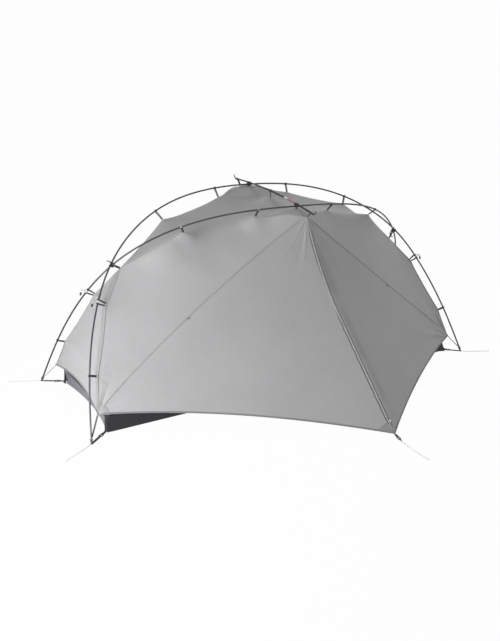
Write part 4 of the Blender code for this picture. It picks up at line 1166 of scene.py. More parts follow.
def grid_normals(grid, out):
    normals = np.cross(np.gradient(grid, axis=0), np.gradient(grid, axis=1))
    length = np.linalg.norm(normals, axis=2)[..., None]
    normals = np.where(length > 1e-12, normals / np.maximum(length, 1e-12), out)
    return np.where((normals @ out)[..., None] < 0, -normals, normals)


def front_half(end):
    """Side panel and door of one end as one grid, from the crease and edge, over the seam, to the zip."""
    counts = PANEL_ROWS[end]
    held = ("peak", end + "_roof", end + "_shoulder", end + "_crossing")
    crease = chain(held, counts[:3], CREASE_SAGS[end])
    edge = chain((end + "_crossing", end + "_guy", end + "_low", end + "_corner"), counts[3:], EDGE_SAGS)
    outer = np.concatenate([crease, edge[1:]])
    count = len(outer) - 1
    seam = bowed_seam(end, count)
    draw = np.array((0.0, HEM_PULL[end], HEM_RISE_FRONT))
    hem = hung(PLACES[end + "_corner"], STAKE, DOOR_COLUMNS + 1, draw)
    side = ruled(outer, seam, SIDE_COLUMNS)
    door = ruled(seam, zip_line(count), DOOR_COLUMNS, hem)
    grid = np.concatenate([side, door[:, 1:]], axis=1)
    grid = hollowed(stretched(grid, PANEL_OUT[end]), HOLLOW, INTO_FRONT)
    grid = grid + (front_folds(grid, end) * edge_mask(grid))[..., None] * PANEL_OUT[end]
    return lifted(grid), crease, edge


def end_wall(end, edge):
    """The panel that closes the fly at one end."""
    sign = 1 if end == "foot" else -1
    draw = np.array((sign * HEM_PULL_END, 0.0, HEM_RISE_END))
    hem = hung(edge[-1], on_side(edge[-1], REAR), END_COLUMNS + 1, draw)
    wall = ruled(edge, on_side(edge, REAR), END_COLUMNS, hem)
    axes = (BACKWARDS, UPWARDS)
    total = np.zeros(wall.shape[:2])
    for side in (FRONT, REAR):
        spread = around(math.pi / 2 - side * 0.9, 0.8)
        total += fan_folds(wall, on_side(edge[-1], side), axes, spread, WALL_CORNER_FAN)
        for k, name in enumerate(("_guy", "_low")):
            inner = around(0.0 if side == FRONT else math.pi, 1.2)
            total += fan_folds(wall, on_side(PLACES[end + name], side), axes, inner, WALL_CLIP_FAN, k)
    total += fan_folds(wall, PLACES[end + "_crossing"], axes, (-2.3, -0.8), WALL_CROSSING_FAN)
    return wall + (total * edge_mask(wall))[..., None] * np.array((-sign, 0.0, WALL_TILT))


HALVES, CREASES, EDGES = {}, {}, {}
for fly_end in ENDS:
    HALVES[fly_end], CREASES[fly_end], EDGES[fly_end] = front_half(fly_end)
CREASE = np.concatenate([CREASES["foot"][::-1], CREASES["head"][1:]])


def on_panel(end, places, lift):
    """Places moved onto a front panel along its outward direction."""
    out = PANEL_OUT[end]
    first, second = plane_axes(end, STAKE - PLACES[end + "_corner"])
    cloth = HALVES[end].reshape(-1, 3)
    flat = projected(cloth, first, second)
    found = []
    for at in projected(places, first, second):
        gaps = np.sum((flat - at) ** 2, axis=1)
        near = np.argpartition(gaps, 6)[:6]
        weights = 1.0 / (gaps[near] + 1e-8)
        height = (cloth[near] @ out) @ weights / weights.sum()
        found.append(first * at[0] + second * at[1] + out * (height + lift))
    return np.array(found)


def strip(line, normals, profile, towards, taper=0.0):
    """The grid of a narrow band on cloth, and its places there. profile holds (across, lift) pairs, and
    across is positive towards a point. Both its ends narrow over the length taper."""
    profile = np.asarray(profile, float)
    steps = lengths(line)
    sizes = np.ones(len(line))
    if taper:
        narrow = smoothstep(0.0, taper, np.minimum(steps, steps[-1] - steps))
        sizes = TAPER_END + (1 - TAPER_END) * narrow
    side = frames_along(line, normals)[1]
    flip = -1 if np.mean(np.sum(side * (towards - line), axis=1)) < 0 else 1
    across, lifts = sizes[:, None] * profile[:, 0], sizes[:, None] * profile[:, 1]
    return carried(line, normals, flip * across, lifts), paired(steps, profile[:, 0])


def rippled(band, line, height):
    """Small uneven waves along a band, as where stitching has drawn it up."""
    chance = np.random.RandomState(RIPPLE_SEED)
    wave = np.zeros(len(line))
    for k in range(4):
        pitch = RIPPLE_PITCH * (0.7 + 0.35 * k)
        wave += np.sin(2 * math.pi * lengths(line) / pitch + chance.uniform(0, 6.28)) / 4
    return band + (band - line[:, None]) * (wave * height)[:, None, None]


# Fly


def hem_band(line, normals, into):
    """A folded binding round a cloth edge."""
    return strip(line, normals, np.array(HEM_PROFILE) * (HEM_BAND, HEM_THICK), into)


def build_main():
    """The roof, the end walls and the side panels, as one piece of cloth."""
    roof = hollowed(ruled(CREASE, on_side(CREASE, REAR), ROOF_COLUMNS), ROOF_SAG, -UPWARDS)
    roof[..., 2] += roof_folds(roof) * edge_mask(roof)
    roof = lifted(roof)
    main = Build("fly")
    main.grid(roof, 0, projected(roof, LENGTHWISE, BACKWARDS))
    for end in ENDS:
        wall = end_wall(end, EDGES[end])
        main.grid(wall, 0, projected(wall, BACKWARDS, UPWARDS))
        for mirror in (FRONT, REAR):
            turned = on_side(HALVES[end][:, : SIDE_COLUMNS + 1], mirror)
            main.grid(turned, 0, projected(turned, LENGTHWISE, on_side(FLAT_UP, mirror)))
    fly = main.object("fly_main", weld=1e-5, outwards=INSIDE)
    soften_crease(fly.data)
    sides = [f"fly_side_{end}_{label}" for end in ENDS for label in LABELS.values()]
    return settle(fly, "tent", "fly", "fly_roof", "fly_end_foot", "fly_end_head", *sides)


def slack(points):
    """How the cloth drops between the clips of the front crease."""
    held = np.concatenate([HALVES["foot"][:, SIDE_COLUMNS], EDGES["foot"]])
    nearest = np.min([distance(points, place) for place in held], axis=0)
    free = 1 - np.clip(1 - nearest / SLACK_EDGE, 0.0, 1.0) ** 2
    for place in PLACES.values():
        free = free * smoothstep(0.0, SLACK_HELD, distance(points, place))
    total = np.zeros(len(points))
    for place, reach, depth in TROUGHS:
        gaps = distance(points, place) ** 2 / reach**2
        total += depth * np.clip(1 - gaps, 0.0, 1.0) ** 2
    return (total * free)[:, None] * INTO_FRONT


def crease_weights(points):
    """How much each point gives way when the crease is rounded."""
    folded = on_side(points, FRONT)
    folded[:, 1] = -np.abs(points[:, 1])
    gaps = np.full(len(points), 1.0)
    amount = np.zeros(len(points))
    for end in ENDS:
        counts = np.array(PANEL_ROWS[end][:3]) * FINE
        for place, soft in list(zip(CREASES[end], np.repeat(SOFT_SPANS[end], counts)))[::2]:
            away = distance(folded, place)
            amount = np.where(away < gaps, soft, amount)
            gaps = np.minimum(gaps, away)
    weight = amount * (1 - smoothstep(0.25 * SOFT_CREASE, SOFT_CREASE, gaps))
    weight = weight * np.where(points[:, 1] < 0, 1.0, SOFT_REAR)
    inside = np.interp(points[:, 0], CREASE[:, 0], np.abs(CREASE[:, 1])) - np.abs(points[:, 1])
    beyond = smoothstep(*SOFT_ROOF_FROM, np.abs(points[:, 0] - BEAK[0]))
    weight = np.maximum(weight, SOFT_ROOF * beyond * smoothstep(0.0, SOFT_ROOF_EDGE, inside))
    for place in PLACES.values():
        weight = weight * smoothstep(*SOFT_HELD, distance(folded, place))
    edges = np.concatenate([EDGES["foot"], EDGES["head"]])
    away = np.min([distance(folded, place) for place in edges], axis=0)
    return weight * smoothstep(0.0, SOFT_EDGE, away)


def soften_crease(mesh):
    """Rounds the fold between the roof and the front and rear panels, except close to the clips."""
    count = len(mesh.vertices)
    points = np.empty(count * 3)
    mesh.vertices.foreach_get("co", points)
    points = points.reshape(-1, 3)
    ends = np.empty(len(mesh.edges) * 2, int)
    mesh.edges.foreach_get("vertices", ends)
    first, second = ends.reshape(-1, 2).T
    faced = np.empty(len(mesh.loops), int)
    mesh.loops.foreach_get("edge_index", faced)
    rim = np.bincount(faced, minlength=len(first)) == 1
    weight = crease_weights(points)
    weight[np.unique([first[rim], second[rim]])] = 0.0
    degree = np.bincount(ends, minlength=count)[:, None]
    for _ in range(SOFT_PASSES):
        sums = [
            np.bincount(first, points[second, k], count) + np.bincount(second, points[first, k], count)
            for k in range(3)
        ]
        points += (np.stack(sums, axis=1) / degree - points) * SOFT_RATE * weight[:, None]
    points += slack(points)
    mesh.vertices.foreach_set("co", points.ravel())
    mesh.update()


def foot_flap(line, towards):
    """The covering flap of the zip, and a dark strip on the seam that holds it: a stitched seam that is also
    painted shade along the flap's step. The flap lies flat above, and stands lower down.
    """
    out = PANEL_OUT["foot"]
    flat, raised = (
        strip(line, out, np.stack([FLAP_ACROSS, lifts], axis=1), towards, FLAP_TAPER)
        for lifts in (FLAP_FLAT_LIFTS, FLAP_LIFTS)
    )
    stands = smoothstep(*FLAP_RISES, np.linspace(0.0, 1.0, len(line)))[:, None, None]
    flap = flat[0] * (1 - stands) + raised[0] * stands
    # The seam strip takes the near-black zip coil colour, which paints the shade beside the flap's step
    seam_shade, uv = strip(line, out, FLAP_SEAM_SHADE_PROFILE, towards, FLAP_TAPER)
    return [(rippled(flap, line, FLAP_RIPPLE), 0, flat[1]), (rippled(seam_shade, line, FLAP_SEAM_SHADE_RIPPLE), 3, uv)]


def foot_patches():
    """Sewn-on reinforcements: a round one at the lower corner, and a slanting one at the stake."""
    corner = PLACES["foot_corner"]
    axes = plane_axes("foot", STAKE - corner)
    steepest = turn_of(PLACES["foot_low"] - corner, axes)
    rays = spokes(np.linspace(0.10, steepest - 0.10, 15), *axes)
    rows = np.array([on_panel("foot", corner + rays * away, lift) for away, lift in ROUND_PATCH])
    pieces = [(rows, 0, None)]
    grid = HALVES["foot"]
    zipped = evenly(grid[::-1, -1][: PATCH_ROWS + 1], PATCH_STEPS)
    hem = evenly(grid[-1, ::-1][: PATCH_COLUMNS + 1], PATCH_STEPS)
    rows = []
    for share, lift in STAKE_PATCH:
        k = int(PATCH_STEPS * share)
        spots = zipped[k] + (hem[k] - zipped[k]) * np.linspace(0.10, 0.97, 13)[:, None]
        rows.append(on_panel("foot", spots, lift))
    pieces.append((np.array(rows), 4, None))
    return pieces


def door_bands(end):
    """The bands on one door, in the front half: hem, zip flap or zip tape, and patches."""
    grid = HALVES[end][:, SIDE_COLUMNS:]
    corner = PLACES[end + "_corner"]
    hem, uv = hem_band(grid[-1], grid_normals(grid, PANEL_OUT[end])[-1], PLACES["peak"])
    pieces = [(hem, 1, uv)]
    line = grid[ZIP_ROWS_FROM:, -1]
    if end == "foot":
        return pieces + foot_flap(line, corner) + foot_patches()
    for surface, profile in ((2, TAPE_PROFILE), (3, COIL_PROFILE)):
        band, uv = strip(line, PANEL_OUT[end], profile, corner, FLAP_TAPER)
        pieces.append((band, surface, uv))
    return pieces


def build_door(end, side, label):
    grid = on_side(HALVES[end][:, SIDE_COLUMNS:], side)
    build = Build("fly", "binding", "tape", "coil", "patch")
    build.grid(grid, 0, projected(grid, LENGTHWISE, on_side(FLAT_UP, side)))
    for band, surface, uv in door_bands(end):
        build.grid(on_side(band, side), surface, uv)
    door = build.object(f"door_{end}_{label}_cloth", weld=1e-5)
    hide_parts(f"fly_door_{end}_{label}")
    peak, corner, stake, out = (
        on_side(v, side) for v in (PLACES["peak"], PLACES[end + "_corner"], STAKE, PANEL_OUT[end])
    )
    start = (peak + corner) / 2
    across = unit(np.cross(unit(corner - peak), out))
    if across @ (stake - start) < 0:
        across = -across
    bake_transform(door)


def build_bands():
    """Seams, edge seams and the hems of the two end walls, which stay with the fly."""
    build = Build("fly", "binding", "tape", "webbing")
    for end in ENDS:
        half, edge, crossing = HALVES[end], EDGES[end], PLACES[end + "_crossing"]
        sign = -1.0 if end == "foot" else 1.0
        normals = grid_normals(half, PANEL_OUT[end])[2:-2, SIDE_COLUMNS]
        up = unit(PANEL_OUT[end] + (sign, 0.0, WALL_TILT))
        for band, uv in (
            strip(half[2:-2, SIDE_COLUMNS], normals, SEAM_PROFILE, crossing, SEAM_TAPER),
            strip(edge, up, EDGE_PROFILE, STAKE, EDGE_TAPER),
        ):
            for mirror in (FRONT, REAR):
                build.grid(on_side(band, mirror), 2, uv)
        hem, uv = hem_band(end_wall(end, edge)[-1], (sign, 0.0, 0.2), crossing)
        build.grid(hem, 1, uv)
    return settle(build.object("fly_bands"), "tent", "fly")


def build_tiebacks():
    """A webbing tab with a toggle on each seam, to hold the rolled door."""
    for end in ENDS:
        half = HALVES[end]
        place = half[int(TIEBACK_SHARE * (len(half) - 1)), SIDE_COLUMNS]
        towards = unit(STAKE - PLACES["foot_corner"]) if end == "foot" else -SEAM_SIDE[end]
        tab = on_panel(end, place + np.linspace(*TIEBACK_REACH, 6)[:, None] * towards, TIEBACK_LIFT)
        for side, label in LABELS.items():
            build = Build("binding", "binding")
            line, up = on_side(tab, side), on_side(PANEL_OUT[end], side)
            ribbon(build, line, up, *TIEBACK_SIZE)
            cross = unit(np.cross(up, unit(line[-1] - line[-2])))
            lathe(build, line[-1] + up * TOGGLE_LIFT, cross, TIEBACK_TOGGLE, 1, 14)
            settle(build.object(f"tieback_{end}_{label}", sharp=50), "tent", "webbing")


fly_main = build_main()
build_bands()
for fly_end in ENDS:
    for fly_side, fly_label in LABELS.items():
        build_door(fly_end, fly_side, fly_label)
build_tiebacks()


# Hooks, clips and poles


def cross_bar(build, centre, half, radius, surface, up):
    tube(build, between(centre - half, centre + half, 3), radius, surface, 10, up)


def pole_ring(build, place, down, along, width, surface=0, mouth=80.0, wall=0.0020, gap=0.0005, glint_lips=None):
    """A snap ring round a pole, open on the side away from the cloth. Where a slot is given for its lips,
    they are thicker and take that slot's colour; the white cord colour there is a painted highlight on the
    clip's top.
    """
    half = math.pi - math.radians(mouth) / 2
    rays = spokes(np.linspace(-half, half, 33), down, unit(np.cross(along, down)))
    ribbon(build, place + rays * (POLE_RADIUS + gap + wall / 2), rays, width, wall, surface)
    radius, surface = (LIP_RADIUS, surface) if glint_lips is None else (GLINT_LIP_RADIUS, glint_lips)
    for ray in (rays[0], rays[-1]):
        lip = place + ray * (POLE_RADIUS + gap + wall * 0.7)
        cross_bar(build, lip, along * width * 0.48, radius, surface, ray)


def hub_rings(build, place, down, along, width):
    for shift in (-HUB_SHIFT, HUB_SHIFT):
        pole_ring(build, place + along * shift, down, along, width, mouth=70.0, wall=0.0022)


def build_poles():
    for side, label in LABELS.items():
        route = pole_route(side)
        first = route.length * FIRST_LEG_SHARE
        second = route.length * LAST_LEG_SHARE
        for name, start, end, joints in (
            ("foot_leg", TIP_SOCKET, first, []),
            ("arch", first, second, [first + COLLAR, second - COLLAR]),
            ("head_leg", second, route.length - TIP_SOCKET, []),
        ):
            build = Build("pole")
            line = route.points(start + FIT_GAP / 2, end - FIT_GAP / 2, POLE_STEP)
            tube(build, line, POLE_RADIUS, sides=20)
            sections = max(1, round((end - start) / SECTION_LENGTH))
            rings = [start + (end - start) * k / sections for k in range(1, sections)]
            for station in rings + joints:
                lathe(build, route.point(station), route.tangent(station), COLLAR_PROFILE)
            build.hardware(f"pole_{label}_{name}", "_tube", "pole")
        for end in ENDS:
            bottom, inside = pole_end(side, end)
            tip = Build("pole")
            lathe(tip, bottom, inside - bottom, TIP_PROFILE)
            tip.hardware(f"pole_tip_{end}_{label}", "_turned", "alloy", 35)


def build_ridge():
    """The two sections of the ridge pole with their grips, the sleeve, and the three hooks."""
    route = ridge_route()
    middle = route.length / 2 + RIDGE_SLEEVE_PLACE
    half = RIDGE_SLEEVE_LENGTH / 2
    front_covers = [
        (RIDGE_TIP_PLUG, RIDGE_OVERHANG - GRIP_SHORT, 0.008, GRIP_WALL, 3),
        (middle - half - RED_LENGTH, middle - half - 0.002, 0.006, RED_WALL, 1),
    ]
    rear_covers = [(middle + half + 0.001, route.length / 2 + RIDGE_MIDDLE, 0.008, GRIP_WALL, 3)]
    for name, start, end, covers in (
        ("front", RIDGE_TIP_PLUG, middle, front_covers),
        ("rear", middle, route.length - RIDGE_TIP_PLUG, rear_covers),
    ):
        build = Build("ridge", "red", "alloy", "ridge")
        tube(build, route.points(start + FIT_GAP, end - FIT_GAP, 0.008), POLE_RADIUS, sides=20)
        for first, last, step, wall, surface in covers:
            tube(build, route.points(first, last, step), POLE_RADIUS + wall, surface, sides=20)
        build.hardware(f"ridge_pole_{name}", "_tube", "pole")
    sleeve = Build("alloy", "red")
    for start, end, surface in ((middle, middle + half, 0), (middle - half, middle, 1)):
        line = route.points(start, end, 0.002)
        full = 1 - smoothstep(0.80, 1.0, np.abs(np.linspace(-1.0, 1.0, len(line))))
        tube(sleeve, line, POLE_RADIUS + SLEEVE_RIM + SLEEVE_SWELL * full, surface, sides=24)
    sleeve.hardware("ridge_sleeve", "_turned", "alloy")
    for side, label in LABELS.items():
        build_ridge_tip(route, side, label)
    build_ridge_middle(route)


def build_ridge_tip(route, side, label):
    """A capped hook on the end of the ridge pole, and the strap that hangs the fly's peak from it."""
    sign = 1 if side == FRONT else -1
    end = 0.0 if side == FRONT else route.length
    tip = route.point(end)
    along = unit(tip - route.point(end + sign * 0.02))
    start = route.point(end + sign * (RIDGE_TIP_PLUG - FIT_GAP))
    build = Build("plastic", "webbing", "cord")
    lathe(build, start, along, RIDGE_CAP, 0, 20)
    hook = [tip + along * reach + UPWARDS * lift for reach, lift in RIDGE_HOOK]
    bent_bar(build, hook, RIDGE_HOOK_RADII, 12, LENGTHWISE)
    hang = start + (tip - start) * 0.6
    peak = on_side(PLACES["peak"], side)
    down = unit(peak - hang)
    span = (0.004, np.linalg.norm(peak - hang) - 0.0012)
    spreads = [0.0013 * (1 - 0.75 * reach / span[1]) for reach in span]
    top, foot = (hang + down * reach for reach in span)
    doubled(build, top, foot, unit(np.cross(down, LENGTHWISE)), spreads, 12, STRAP_BAND, 0.0015)
    closed_tube(build, rounded_ring(hang + down * 0.0035, LENGTHWISE, down, 0.0125, 0.0075, 0.0025), 0.0011)
    build.hardware(f"ridge_tip_{label}", "_hook", "plastic")


def build_ridge_middle(route):
    """The small hook in the middle of the ridge pole that lifts the roof."""
    station = route.length / 2 + RIDGE_MIDDLE
    place, along = route.point(station), route.tangent(station)
    down = square_to(HOOK_HOLD - place, along)
    across = np.cross(down, along)
    build = Build("plastic", "webbing")
    pole_ring(build, place, down, along, 0.011)
    rounded_box(build, place + down * 0.0095, (down, along, across), (0.008, 0.008, 0.0045))
    top = place + down * 0.012
    ribbon(build, between(top, top + (HOOK_HOLD - top) * 0.985, 8), across, 0.008, 0.0018, 1)
    settle(build.object("ridge_middle_hook", sharp=50), "tent", "plastic")


def nearest(route, start, target):
    """The station near start where a route comes closest to a place."""
    return min(start + 0.001 * np.arange(-40, 41), key=lambda s: distance(route.point(s), target))


def hook_strap(build, place, down, along, hold, shift, width, cloth=1, glint_lips=None):
    """A plastic hook on a pole with a doubled strap to the cloth."""
    across = unit(np.cross(along, down))
    place = place + along * shift
    pole_ring(build, place, down, along, width, glint_lips=glint_lips)
    rounded_box(build, place + down * 0.0098, (down, across, along), (0.0075, 0.0040, width * 0.8))
    eye = rounded_ring(place + down * 0.0155, along, down, width + 0.001, 0.0060, 0.0022)
    closed_tube(build, eye, 0.0010)
    foot = hold + along * shift * 0.6 - down * 0.0010
    doubled(build, place + down * 0.0150, foot, across, (0.0011, 0.0006), 9, width, 0.0011, cloth)


def guy_loop(build, place, out, along):
    """A thin cord loop from a clip, with a cord toggle at its end."""
    t = np.linspace(0.0, 1.0, 15)[:, None]
    reach = out * GUY_REACH * np.sin(math.pi / 2 * np.minimum(1.0, t * 1.2)) - UPWARDS * GUY_FALL * t**1.5
    for shift in (-1, 1):
        spread = along * shift * (0.0045 * (1 - t) + 0.0014 * t)
        tube(build, place + out * 0.0062 + reach + spread, GUY_CORD, 2, 8, along)
    end = place + out * 0.0402 - UPWARDS * GUY_FALL
    axis = unit(out * 0.35 - UPWARDS)
    lathe(build, end + axis * 0.004, axis, GUY_TOGGLE, 0, 18)
    tail = end + axis * (0.010 + 0.010 * t[:9]) + along * 0.0016 * np.sin(2.6 * t[:9])
    tube(build, tail, GUY_TAIL, 2, 8, along)


def build_clips():
    plain = Route(POLE_ROUTE)
    for side, label in LABELS.items():
        for name, (knot, reach, _) in CLIPS.items():
            station = plain.at[knot] + reach
            on_leg = plain.point(station)[1] < 0
            route = pole_route(side if on_leg else -side)
            hold = on_side(PLACES[name], side)
            station = nearest(route, station, hold)
            place, along = route.point(station), route.tangent(station)
            down = square_to(hold - place, along)
            build = Build("plastic", "webbing", "cord", "edging")
            if "guy" in name:
                for shift in (-GUY_SHIFT, GUY_SHIFT):
                    hook_strap(build, place, down, along, hold, shift, GUY_BAND)
                pole_ring(build, place, down, along, 0.0125, 2, mouth=4.0, wall=0.0016, gap=0.0004)
                if name == "foot_guy" or side == FRONT:
                    guy_loop(build, place, -down, along)
            else:
                cloth = 3 if not on_leg and side == REAR else 1
                # Clips off the ground get white lips, a painted highlight where light glints on the clip's
                # top
                glint_lips = None if "low" in name else 2
                hook_strap(build, place, down, along, hold, 0.0, STRAP_BAND, cloth, glint_lips)
            build.hardware(f"clip_{name}_{label}", "_hook", "plastic")


def build_crossing_clips():
    """The piece at each crossing of the long poles, its strap to the fly and the stiff hook beside it."""
    routes = (pole_route(FRONT), pole_route(REAR))
    for end, (knot, _, _) in CROSSINGS.items():
        spots = [(route.point(route.at[knot]), route.tangent(route.at[knot])) for route in routes]
        centre = (spots[0][0] + spots[1][0]) / 2
        hold = PLACES[end + "_crossing"]
        down = unit(hold - centre)
        axes = (down, BACKWARDS, np.cross(down, BACKWARDS))
        build = Build("plastic", "webbing", "edging")
        for spot, tangent in spots:
            hub_rings(build, spot, square_to(down, tangent), tangent, 0.0070)
        rounded_box(build, centre + down * 0.0090, axes, HUB_PLATE)
        rounded_box(build, centre + down * 0.0150, axes, HUB_STEM)
        eye = rounded_ring(centre + down * 0.0205, BACKWARDS, down, 0.0130, 0.0070, 0.0025)
        closed_tube(build, eye, 0.0011)
        length = np.linalg.norm(hold - centre)
        span = (0.0200, length - 0.0012)
        spreads = [0.0011 * (1 - 0.5 * reach / length) for reach in span]
        top, foot = (centre + down * reach for reach in span)
        doubled(build, top, foot, BACKWARDS, spreads, 10, STRAP_BAND, 0.0014)
        if end == "foot":
            hook = [centre + HUB_LEFT * away + UPWARDS * rise for away, rise in HUB_TIP]
            bent_bar(build, hook, HUB_TIP_RADII, 10, -BACKWARDS)
        else:
            start = centre - BACKWARDS * 0.010
            hook = [start + HUB_LEFT * away - UPWARDS * drop for away, drop in HUB_HOOK]
            bent_bar(build, hook, HUB_HOOK_RADII, 12, np.cross(HUB_LEFT, -UPWARDS))
        build.hardware(f"crossing_clip_{end}", "_hook", "plastic")


def build_ridge_hooks():
    """The hook where the ridge pole crosses each arch, with its strap to the fly."""
    ridge = ridge_route()
    for side, label in LABELS.items():
        arch = pole_route(-side)
        station = arch.at[RIDGE_KNOT]
        crossing, tangent = arch.point(station), arch.tangent(station)
        spot = RIDGE_OVERHANG if side == FRONT else ridge.length - RIDGE_OVERHANG
        along = ridge.tangent(spot)
        build = Build("plastic", "alloy", "webbing")
        hub_rings(build, crossing, UPWARDS, tangent, 0.0075)
        hub_rings(build, ridge.point(spot), -UPWARDS, along, 0.0075)
        centre = crossing + UPWARDS * (POLE_RADIUS + FIT_GAP)
        for u in (-POST_SHIFT, POST_SHIFT):
            for v in (-POST_SHIFT, POST_SHIFT):
                lathe(build, centre + tangent * u + along * v, UPWARDS, POST_PROFILE, 0, 14)
        top = crossing - UPWARDS * (POLE_RADIUS + 0.0030)
        foot = lifted(beak(side, BEAK_CLOTH))
        doubled(build, top, foot, along, (0.0012, 0.0006), 8, STRAP_BAND, 0.0013, 2)
        build.hardware(f"ridge_hook_{label}", "_clip", "plastic")


# Straps at the ground


def strap(build, start, along, square, span, sag, width, thick, count=8):
    """Webbing along part of a line, dipping a little in the middle."""
    line = hung(start + along * span[0], start + along * span[1], count, -square * sag)
    ribbon(build, line, square, width, thick)


def ladder_buckle(build, centre, along, across, up, wide, long):
    """An open frame with two bars across it and a rail along each side."""
    closed_tube(build, rounded_ring(centre, along, across, long, wide, 0.003), 0.0016, 1)
    for shift in (-0.16, 0.16):
        spot = centre + along * long * shift + up * 0.0005
        cross_bar(build, spot, across * wide * 0.46, 0.0014, 1, up)
    for turn in (-1, 1):
        rail = centre + across * wide * 0.47 * turn
        rounded_box(build, rail, (along, across, up), (long * 0.96, 0.0026, 0.0038), 1)


def strap_axes(start, end):
    """The directions along a strap, across it and square to both, and its length."""
    along = unit(end - start)
    across = unit(np.cross(UPWARDS, along))
    return along, across, np.cross(along, across), np.linalg.norm(end - start)


def corner_centre(end, side):
    """The middle of the floor's round corner."""
    x, half = FLOOR_ENDS[end]
    return np.array((x - math.copysign(CORNER_ROUND, x), side * (half - CORNER_ROUND)))


def build_corner_strap(end, side, label):
    """The strap from the floor's corner through a buckle to the eyelet that holds the pole's tip."""
    bottom, inside = pole_end(side, end)
    axis = unit(inside - bottom)
    peg = bottom + axis * EYELET_RISE / axis[2]
    centre = np.append(corner_centre(end, side), 0.0)
    away = unit((peg - centre) * (1.0, 1.0, 0.0))
    swell = FLOOR_FLARE * FLOOR_CORNER_RISE / FLOOR_WALL
    start = centre + away * (CORNER_ROUND + swell + 2 * FIT_GAP) + UPWARDS * FLOOR_CORNER_RISE
    along, across, square, reach = strap_axes(start, peg)
    first = BUCKLE_PLACE_SHARE * reach
    build = Build("webbing", "plastic", "alloy", "cord")
    strap(build, start, along, square, (-0.002, first + 0.007), 0.0006, STRAP_WIDTH, STRAP_THICK)
    middle = start + along * (first + BUCKLE_LENGTH / 2)
    ladder_buckle(build, middle, along, across, square, BUCKLE_WIDTH - 0.003, BUCKLE_LENGTH - 0.003)
    span = (first + BUCKLE_LENGTH - 0.009, reach - 0.004)
    strap(build, start, along, square, span, 0.0005, STRAP_WIDTH, STRAP_THICK)
    t = np.linspace(0.0, 1.0, 8)[:, None]
    tail = start + along * (first + 0.010 - 0.018 * t) + across * 0.002 * t
    ribbon(build, tail + square * (0.0022 + 0.0006 * np.sin(3 * t)), square, STRAP_WIDTH * 0.94, 0.0012)
    level = unit(np.cross(square, LENGTHWISE))
    rim = spokes(round_turns(32), level, np.cross(square, level))
    rings = np.array([peg + rim * radius + square * height for radius, height in EYELET_SECTION])
    build.grid(rings, 2, wrap=True)
    box = start + along * (reach - 0.014) + square * 0.0009
    tacks = [box + across * 0.005 * u + along * 0.004 * v for u, v in BAR_TACK]
    tube(build, tacks, THREAD_RADIUS, 3, 6, square)
    build.hardware(f"corner_strap_{end}_{label}", "_webbing", "webbing")
    build_corner_tie(end, side, label, peg, axis)


def build_corner_tie(end, side, label, peg, axis):
    """The grey strap from the fly's lower corner to the foot of the pole, looped round the tip."""
    corner = on_side(PLACES[end + "_corner"], side)
    middle = peg + axis * TIE_RISE
    along = unit(middle - corner)
    up = square_to(on_side(PANEL_OUT[end], side), along)
    build = Build("edging", "plastic")
    line = hung(corner + along * 0.001, middle - along * 0.0105, 12, -up * 0.002)
    ribbon(build, line, up, TIE_WIDTH, 0.0012)
    first = unit(np.cross(axis, along))
    rays = spokes(round_turns(24), first, np.cross(first, axis))
    rays = np.concatenate([rays, rays[:1]])
    ribbon(build, middle + rays * TIE_LOOP, rays, TIE_WIDTH * 0.8, 0.0011)
    settle(build.object(f"corner_tie_{end}_{label}", sharp=50), "tent", "webbing")


def build_stake_strap():
    """The strap and buckle at the front vestibule's stake corner."""
    end = np.array(STAKE_CORDS["stake_cord_vestibule"][0])
    along, across, square, reach = strap_axes(STAKE, end)
    build = Build("webbing", "plastic", "alloy")
    widths = STRAP_WIDTH * (0.75 + 0.25 * np.sin(np.linspace(0.2, math.pi, 10)))
    strap(build, STAKE, along, square, (0.0006, 0.026), 0.0004, widths, 0.0016, 10)
    ladder_buckle(build, STAKE + along * 0.031, along, across, square, *STAKE_BUCKLE)
    strap(build, STAKE, along, square, (0.034, reach - 0.004), 0.0003, STRAP_WIDTH * 0.7, 0.0014)
    closed_tube(build, rounded_ring(end - along * 0.004, along, across, 0.0085, 0.012, 0.003), 0.0012, 2)
    build.hardware("stake_buckle_front", "_webbing", "webbing")


def build_sliders():
    """Zip sliders: a body, a bridge and a pull."""
    along = unit(ZIP_BEND - STAKE)
    out = unit(np.cross(PLACES["head_corner"] - STAKE, along))
    out = -out if out[1] > 0 else out
    beside = unit(np.cross(along, out))
    beside = -beside if beside[0] < 0 else beside
    centre = STAKE + along * SLIDER_START + beside * SLIDER_BESIDE + out * SLIDER_LIFT
    for side, label in LABELS.items():
        a, o, b, place = (on_side(v, side) for v in (along, out, beside, centre))
        build = Build("alloy", "plastic", "cord_dark")
        rounded_box(build, place + o * 0.0012, (a, b, o), SLIDER_SIZE, 0, 0.4)
        turns = np.linspace(0.15, math.pi - 0.15, 13)[:, None]
        bridge = place + a * 0.0048 * np.cos(turns) + o * (0.0016 + 0.0026 * np.sin(turns))
        ribbon(build, bridge, o, 0.0026, 0.0010)
        pull = between(place - a * 0.002 + o * 0.0046, place - a * 0.023 + o * 0.0030, 8)
        ribbon(build, pull, o, 0.0048, 0.0011, 1)
        build.hardware(f"zip_slider_{label}", "_body", "plastic")


build_poles()
build_ridge()
build_clips()
build_crossing_clips()
build_ridge_hooks()
for strap_end in ENDS:
    for strap_side, strap_label in LABELS.items():
        build_corner_strap(strap_end, strap_side, strap_label)
build_stake_strap()
build_sliders()


# Floor and inner canopy


